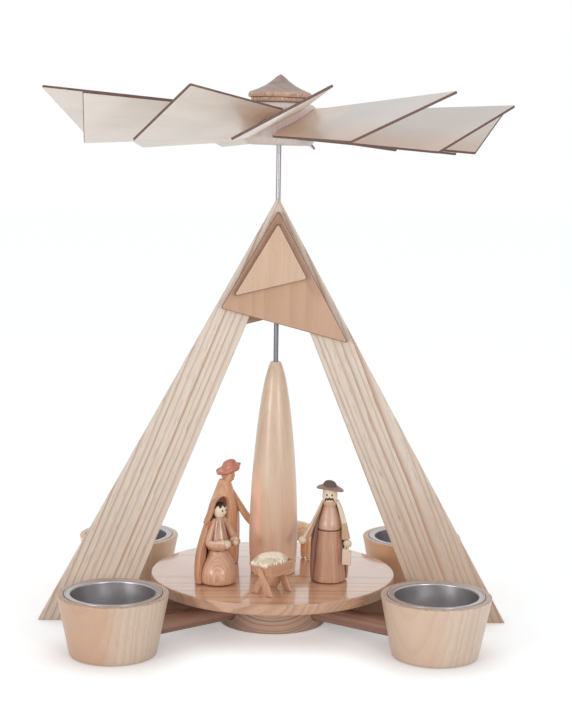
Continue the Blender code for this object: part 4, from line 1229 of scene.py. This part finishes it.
def make_standing_man():
    place, add = figure_at(27.4, -16.3, -7)
    robe = ((7.7, 0.0), (8.3, 0.4), (8.35, 1.6), (7.9, 7.0), (7.2, 14.0), (6.6, 20.0), (6.1, 25.7))
    mesh = closed_turning("robe", robe, 0.0, 25.9, 72, fluted(6, 0.012, 0.0, 24.0))
    add("standing_robe", mesh, "alder", [robe_wood], "joseph_robe")
    jacket = (
        (5.3, 26.0), (5.75, 26.5), (5.85, 27.6), (5.7, 29.2), (5.1, 31.4), (4.3, 34.0), (3.6, 36.2), (3.1, 37.5)
    )
    mesh = closed_turning("jacket", jacket, 26.0, 37.7, 64)
    add("standing_jacket", mesh, "maple", [jacket_wood], "joseph_jacket")
    left = ((-3.4, -0.6, 40.2, 0.8), (-5.9, -2.2, 34.0, 1.15), (-8.4, -4.2, 28.0, 1.6), (-10.9, -6.0, 22.8, 2.4))
    right = ((3.6, -0.6, 40.4, 0.8), (5.3, -1.6, 36.6, 1.1), (7.3, -3.0, 29.9, 1.35), (8.5, -3.8, 22.0, 2.1))
    for side, stations, palm in (("left", left, (-12.7, -6.6, 21.3)), ("right", right, (9.4, -4.6, 19.8))):
        hand = ball_mesh("hand", palm, (2.1, 1.9, 2.1), 14)
        arm = join_meshes("arm", [wedge_sleeve(stations), hand], [0, 2])
        # Painted light: the right arm's upper part and the left arm's left-facing faces take the cream finish.
        for face in arm.polygons:
            takes_painted_light = face.center.z > 30.4 * mm if side == "right" else face.normal.x < -0.12
            if face.material_index == 0 and takes_painted_light:
                face.material_index = 1
        add("standing_arm_" + side, arm, "maple", [sleeve_wood_painted_shade, sleeve_painted_light, cream_paint], "joseph_arm_" + side)
    head = ((1.6, 37.1), (2.6, 37.9), (3.3, 39.4), (3.7, 41.4), (3.7, 44.0), (3.5, 46.4))
    mesh = closed_turning("head", head, 36.8, 46.6, 48)
    add("standing_head", mesh, "cream_paint", [skin_paint], "joseph_head")
    add_face(add, "standing", (0.0, 0.0, 43.3), 3.7, 0.52, place)
    beard = smooth_line(((0.9, 36.1), (2.0, 36.4), (3.0, 37.5), (3.55, 39.0), (3.75, 40.1)), 3)
    rows = [(point.x, point.y, 130 + 22 * (point.y - 36.1)) for point in beard]
    mesh = mantle_mesh("beard", rows, ((0.0, 0.5), (50.0, 0.5)), 30)
    mesh.transform(turn_by(180))
    add("standing_beard", mesh, "cream_paint", [beard_paint])
    moustache = []
    for side in (-1, 1):
        line = ((0.0, -3.85, 42.2), (side * 0.75, -3.85, 41.2), (side * 1.45, -3.6, 41.9), (side * 2.3, -3.1, 40.5))
        radii = [0.4 - 0.01 * index for index in range(13)]
        moustache.append(tube_mesh("moustache", smooth_line(line, 4), radii, 10))
    add("standing_moustache", join_meshes("moustache", moustache), "dark_paint", [hair_paint])
    hat = (
        (3.5, 46.65), (6.2, 46.6), (6.75, 46.85), (6.5, 47.25), (4.8, 47.6), (3.7, 47.8), (3.35, 48.4),
        (2.9, 49.2), (2.0, 49.95), (0.8, 50.35),
    )

    def tilt(angle, radius, height):
        droop = -1.0 * max(0.0, radius - 3.6) / 3.0 * (0.5 + 0.5 * math.cos(2 * angle))
        x, y = radius * math.cos(angle), radius * math.sin(angle)
        return (x, y, height + droop - 0.12 * x)

    mesh = closed_turning("hat", hat, 46.8, 50.4, 56, tilt, 4)
    add("standing_hat", mesh, "dark_paint", [hat_paint], "joseph_hat")
    corners = ((7.0, 17.6), (6.9, 9.7), (11.3, 9.3), (11.4, 16.4), (10.3, 16.6), (10.2, 17.5))
    bag = board_mesh("bag", corners, 2.6, 0.5, 0.45)
    bag.transform(shift_by(0, -6.0, 0) @ turn_by(90, "X"))
    line = smooth_line(((8.0, -6.0, 17.3), (8.6, -5.6, 18.4), (9.6, -5.4, 18.4), (9.8, -5.8, 17.3)), 4)
    mesh = join_meshes("bag", [bag, tube_mesh("strap", line, [0.4] * 13, 8)])
    add("carried_bag", mesh, "cream_paint", [cream_paint], "joseph_bag")
    cloak = (
        (9.2, 0.3), (9.5, 4.0), (9.6, 9.0), (9.5, 16.0), (9.1, 22.0), (7.9, 29.0), (6.3, 34.0), (4.7, 38.0),
        (4.1, 39.6),
    )
    rows = mantle_rows(cloak, ((0.0, 190.0), (0.3, 206.0), (0.5, 212.0), (0.7, 180.0), (1.0, 180.0)))
    thicknesses = (
        (0.0, 0.8), (2.0, 1.1), (7.0, 1.6), (14.0, 2.2), (20.0, 2.4), (27.0, 2.3), (34.0, 1.9), (39.6, 1.2)
    )
    mesh = mantle_mesh("cloak", rows, thicknesses)
    mesh.transform(shift_by(0.3, 0.0, 0.0) @ turn_by(16))
    add("standing_cloak", mesh, "cherry", [plum_cloak], "joseph_cloak", sharp=50, refine=1)


def make_shepherd():
    place, add = figure_at(-25.0, 17.0, 0)
    gown = (
        (8.2, 0.0), (8.6, 0.6), (8.7, 6.0), (8.7, 14.0), (8.5, 21.0), (8.1, 26.5), (7.1, 31.0), (5.6, 35.6),
        (4.6, 38.6), (3.6, 41.5), (2.8, 43.4),
    )
    pleats = fluted(10, 0.035, 0.0, 43.0)

    def leaning(angle, radius, height):
        x, y, z = pleats(angle, radius, height)
        return (x - 1.5 * (1 - height / 43.0) + 0.1, y, z)

    mesh = closed_turning("gown", gown, 0.0, 43.6, 96, leaning)
    add("shepherd_gown", mesh, "cherry", [gown_wood], "shepherd_robe")
    head = (2.0, 0.0, 45.4)
    mesh = ball_mesh("head", head, (3.3, 3.2, 3.6), 18)
    add("shepherd_face", mesh, "cream_paint", [tan_paint], "shepherd_head")
    facing = place @ shift_by(*head) @ turn_by(58)
    add_face(add, "shepherd", (0.0, 0.0, -0.2), 3.25, 0.3, facing)
    mesh = hair_mesh((0.0, 0.0, 0.0), 3.6, 1.0, 8, 0.5)
    add("shepherd_hair", mesh, "dark_paint", [brown_paint], None, facing)
    hat = (
        (2.8, 47.3), (4.8, 47.6), (5.9, 48.5), (6.1, 49.5), (5.5, 50.2), (4.4, 50.6), (3.6, 51.4), (3.1, 52.6),
        (2.0, 53.4), (0.6, 53.7),
    )

    def floppy(angle, radius, height):
        x, y = radius * math.cos(angle), radius * math.sin(angle)
        share = max(0.0, radius - 3.4) / 3.0
        wave = 0.3 * share * math.sin(3 * angle + 0.6) - 1.1 * share * max(0.0, -math.sin(angle))
        lump = 1 + 0.06 * math.sin(5 * angle + height) + 0.03 * math.sin(9 * angle - height)
        return (x * lump + 2.1, y * lump, height + wave + 0.3 * x - 0.1)

    mesh = closed_turning("hat", hat, 48.2, 53.72, 64, floppy, 4)
    add("shepherd_floppy_hat", mesh, "red_stain", [red_paint], "shepherd_hat")
    route = smooth_line(((3.6, -0.6, 37.2), (7.4, -1.0, 31.0), (11.5, -2.0, 24.8), (15.2, -1.6, 20.6)), 5)
    sleeve = tube_mesh("sleeve", route, growing(1.6, 0.5, len(route)), 24, 0.9)
    palm = ball_mesh("hand", (16.9, -1.8, 18.9), (2.0, 1.9, 2.0), 12)
    mesh = join_meshes("arm", [sleeve, palm], [0, 1])
    add("shepherd_sleeve", mesh, "alder", [arm_wood, cream_paint], "shepherd_arm")


def curled(scale, depth, seed):
    """A form that raises small curls all over a ball."""

    def form(point):
        spot = point * scale + Vector((seed, seed * 0.7, seed * 1.9))
        near = noise.voronoi(spot)[0][0]
        return point + point.normalized() * (depth * (0.55 - near))

    return form


def make_sheep():
    _, add = figure_at(13.5, 26.0, -12)
    wool, limbs = [], []
    for centre, radii, rings, form in (
        ((0.0, 0.0, 14.4), (8.7, 4.8, 5.0), 72, curled(0.85, 0.8, 3.0)),
        ((9.4, 0.0, 19.4), (2.2, 2.1, 1.5), 16, curled(0.9, 0.6, 7.0)),
        ((-8.8, 0.0, 14.6), (1.6, 1.3, 2.4), 14, curled(0.9, 0.5, 5.0)),
    ):
        wool.append(ball_mesh("wool", centre, radii, rings, form))
    radii = [1.7 - 0.04 * index for index in range(10)]
    for pair in (-4.4, 4.4):
        for along in (-2.2, 2.2):
            x = pair - 0.8 * along
            route = ((x, along, 11.0), (x, along, 6.0), (x * 0.98, along, 1.6), (x, along - 0.3, 0.6))
            limbs.append(tube_mesh("leg", smooth_line(route, 3), radii, 14))
    neck = smooth_line(((7.0, 0.0, 16.0), (9.4, 0.0, 18.4), (11.6, 0.0, 17.8), (13.0, 0.0, 16.2)), 4)
    radii = [2.6, 2.5, 2.4, 2.3, 2.2, 2.1, 2.1, 2.0, 1.9, 1.8, 1.6, 1.45, 1.3]
    limbs.append(tube_mesh("neck", neck, radii, 18))
    for along in (-1, 1):
        ear = ((9.6, along * 1.8, 18.6), (9.2, along * 3.2, 18.2), (8.9, along * 4.2, 17.4))
        limbs.append(tube_mesh("ear", smooth_line(ear, 3), [0.9, 0.95, 1.0, 1.0, 0.95, 0.85, 0.6], 12, 0.5))
    mesh = join_meshes("sheep", wool + limbs, [0] * len(wool) + [1] * len(limbs))
    add("curly_sheep", mesh, "wool_paint", [wool_paint, limb_paint], "sheep")


def make_manger():
    _, add = figure_at(-1.1, -37.8, 50)
    long_half, wide_half = 9.6, 6.7
    rings = []
    for height, along_share, across_share, setback in (
        (8.6, 0.76, 0.80, 0.4), (8.8, 0.79, 0.82, 0.4), (13.9, 0.92, 0.92, 0.4), (14.0, 1.0, 1.0, 0.5),
        (14.9, 1.0, 1.0, 0.5), (15.0, 0.98, 0.98, 0.5), (15.0, 0.84, 0.78, 0.4), (14.0, 0.83, 0.77, 0.4),
        (10.4, 0.70, 0.66, 0.4),
    ):
        long, wide = long_half * along_share, wide_half * across_share
        corners = ((-long, -wide), (long, -wide), (long, wide), (-long, wide))
        rings.append([(*point, height) for point in rounded_outline(corners, 0.0, setback, 4)])
    meshes = [skinned_mesh("trough", rings)]
    leg_top, thickness, half_width = 13.4, 1.2, 2.15
    upright = Matrix(((0, 0, 1, 0), (1, 0, 0, 0), (0, 1, 0, 0), (0, 0, 0, 1)))
    for end, plane in ((-1, 8.7), (1, 7.0)):
        for side, foot_reach, head_reach in ((-1, 5.4, 1.5), (1, 4.7, 3.7)):
            x = end * (plane - (thickness + 0.05) * (side * end < 0))
            corners = [
                (side * foot_reach - half_width, 0.0), (side * foot_reach + half_width, 0.0),
                (-side * head_reach + half_width * 0.9, leg_top), (-side * head_reach - half_width * 0.9, leg_top),
            ]
            leg = board_mesh("leg", corners, thickness, 0.25, 0.15)
            leg.transform(shift_by(x, 0, 0) @ upright)
            meshes.append(leg)
    add("crossed_crib", join_meshes("crib", meshes), "alder", [crib_wood], "manger_crib", sharp=25)

    def crinkled(point):
        flat = Vector((point.x / 8.6, point.y / 6.0, 0.0))
        square = max(0.7, (flat.x**4 + flat.y**4) ** 0.25 / max(flat.length, 0.001)) ** 0.6
        full = (flat.length**3 + abs(point.z / 3.5) ** 3) ** (1 / 3)
        lifted = Vector((point.x / square, point.y / square, point.z)) / full
        ridge = 1 - abs(noise.noise(lifted * 1.3)) * 2.4
        small = 1 - abs(noise.noise(lifted * 3.0 + Vector((5, 1, 2)))) * 2.2
        lifted += lifted.normalized() * (0.28 * ridge + 0.3 * small)
        return Vector((lifted.x, lifted.y, max(lifted.z, -0.6)))

    middle = -1.3
    heap = ball_mesh("straw", (middle, 0.0, 14.9), (7.7, 5.4, 1.9), 48, crinkled)
    strands = []
    count, golden_angle = 300, 2.39996
    for number in range(count):
        reach = math.sqrt((number + 0.5) / count)
        angle = number * golden_angle
        lay = 0.9 * math.sin(number * 1.7) + 0.3 * number
        x, y = middle + 7.6 * reach * math.cos(angle), 5.3 * reach * math.sin(angle)
        route = []
        for along, lift in ((-2.2, -0.2), (-0.7, 0.25), (0.8, 0.35), (2.3, -0.1)):
            end_x, end_y = x + along * math.cos(lay), y + along * math.sin(lay)
            out = min(1.0, math.hypot((end_x - middle) / 9.0, end_y / 6.6))
            route.append((end_x, end_y, 15.1 + 3.2 * (1 - out**3) ** 0.5 + lift))
        strands.append(tube_mesh("strand", smooth_line(route, 2), [0.24] * 7, 6, 1.0, 2))
    for number in range(26):
        y = -5.0 + 10.0 * number / 25
        fall = 14.3 + 0.6 * math.sin(number * 2.1)
        route = ((-7.2, y, 16.6), (-9.2, y + 0.4 * math.sin(number), 15.8), (-9.9, y, 15.2), (-10.1, y, fall))
        strands.append(tube_mesh("strand", smooth_line(route, 2), [0.2] * 7, 6, 1.0, 2))
    # The heap takes the darker straw paint: painted shade under the strands.
    mesh = join_meshes("straw", [heap] + strands, [1] + [0] * len(strands))
    add("straw_heap", mesh, "cream_paint", [straw_paint, straw_shade], "manger_straw")


# ---------------------------------------------------------------- floor and world
def rays_seen(tree):
    """1 for the rays that show a surface to the eye, straight or in a shine, and 0 for the rest."""
    kinds = ("Is Camera Ray", "Is Glossy Ray", "Is Transmission Ray")
    camera, glossy, through = (put(tree, "LightPath", (), kind) for kind in kinds)
    return camera.reckon("MAXIMUM", glossy).reckon("MAXIMUM", through)


def make_floor():
    reach = 4.0
    mesh = bpy.data.meshes.new("floor")
    corners = [(-reach, -reach, 0), (reach, -reach, 0), (reach, reach, 0), (-reach, reach, 0)]
    mesh.from_pydata(corners, [], [(0, 1, 2, 3)])
    floor = link_new("studio_floor", mesh)
    material = bpy.data.materials.new("studio_paper")
    material.use_nodes = True
    tree = material.node_tree
    tree.nodes.remove(tree.nodes["Principled BSDF"])
    near = put(tree, "AmbientOcclusion", {"Distance": 0.024}, "AO", samples=16)
    place = put(tree, "TexCoord", (), "Object")
    from_axis, from_front = (
        put(tree, "VectorMath", {0: place, 1: (0.0, along, 0.0)}, "Value", operation="DISTANCE")
        for along in (0.0, -0.092)
    )
    # Painted contact shadow: the AO node darkens the floor's colour near the object, less under the middle.
    close = ramp(near, 1.0, 0.35) * ramp(from_axis, 0.05, 0.08, 0.0, 0.9)
    paper = put(tree, "BsdfDiffuse", {"Color": mix(close, srgb(241, 244, 246), srgb(196, 186, 184))})
    # Painted light: the glow is stronger in a patch in front of the base. Elsewhere it is even and makes the floor
    # white.
    strength = rays_seen(tree) * (ramp(from_front, 0.062, 0.026, 0.0, 0.2) + 0.32)
    lift = put(tree, "Emission", {"Color": (0.99, 1, 1, 1), "Strength": strength})
    feed(tree.nodes["Material Output"].inputs["Surface"], put(tree, "AddShader", {0: paper, 1: lift}))
    mesh.materials.append(material)


def make_world():
    world = bpy.data.worlds.new("studio")
    world.use_nodes = True
    scene.world = world
    background = world.node_tree.nodes["Background"].inputs
    feed(background["Color"], (1.0, 1.0, 1.0, 1.0))
    feed(background["Strength"], rays_seen(world.node_tree) * 0.24 + 0.76)


scene.view_settings.view_transform = "Standard"
set_camera()
set_lamps()
make_floor()
make_world()
make_frame()
make_foot_block()
make_rails()
make_cups()
make_table()
make_column()
make_spindle()
make_wheel()
make_kneeling_woman()
make_standing_man()
make_shepherd()
make_sheep()
make_manger()

bpy.context.view_layer.update()
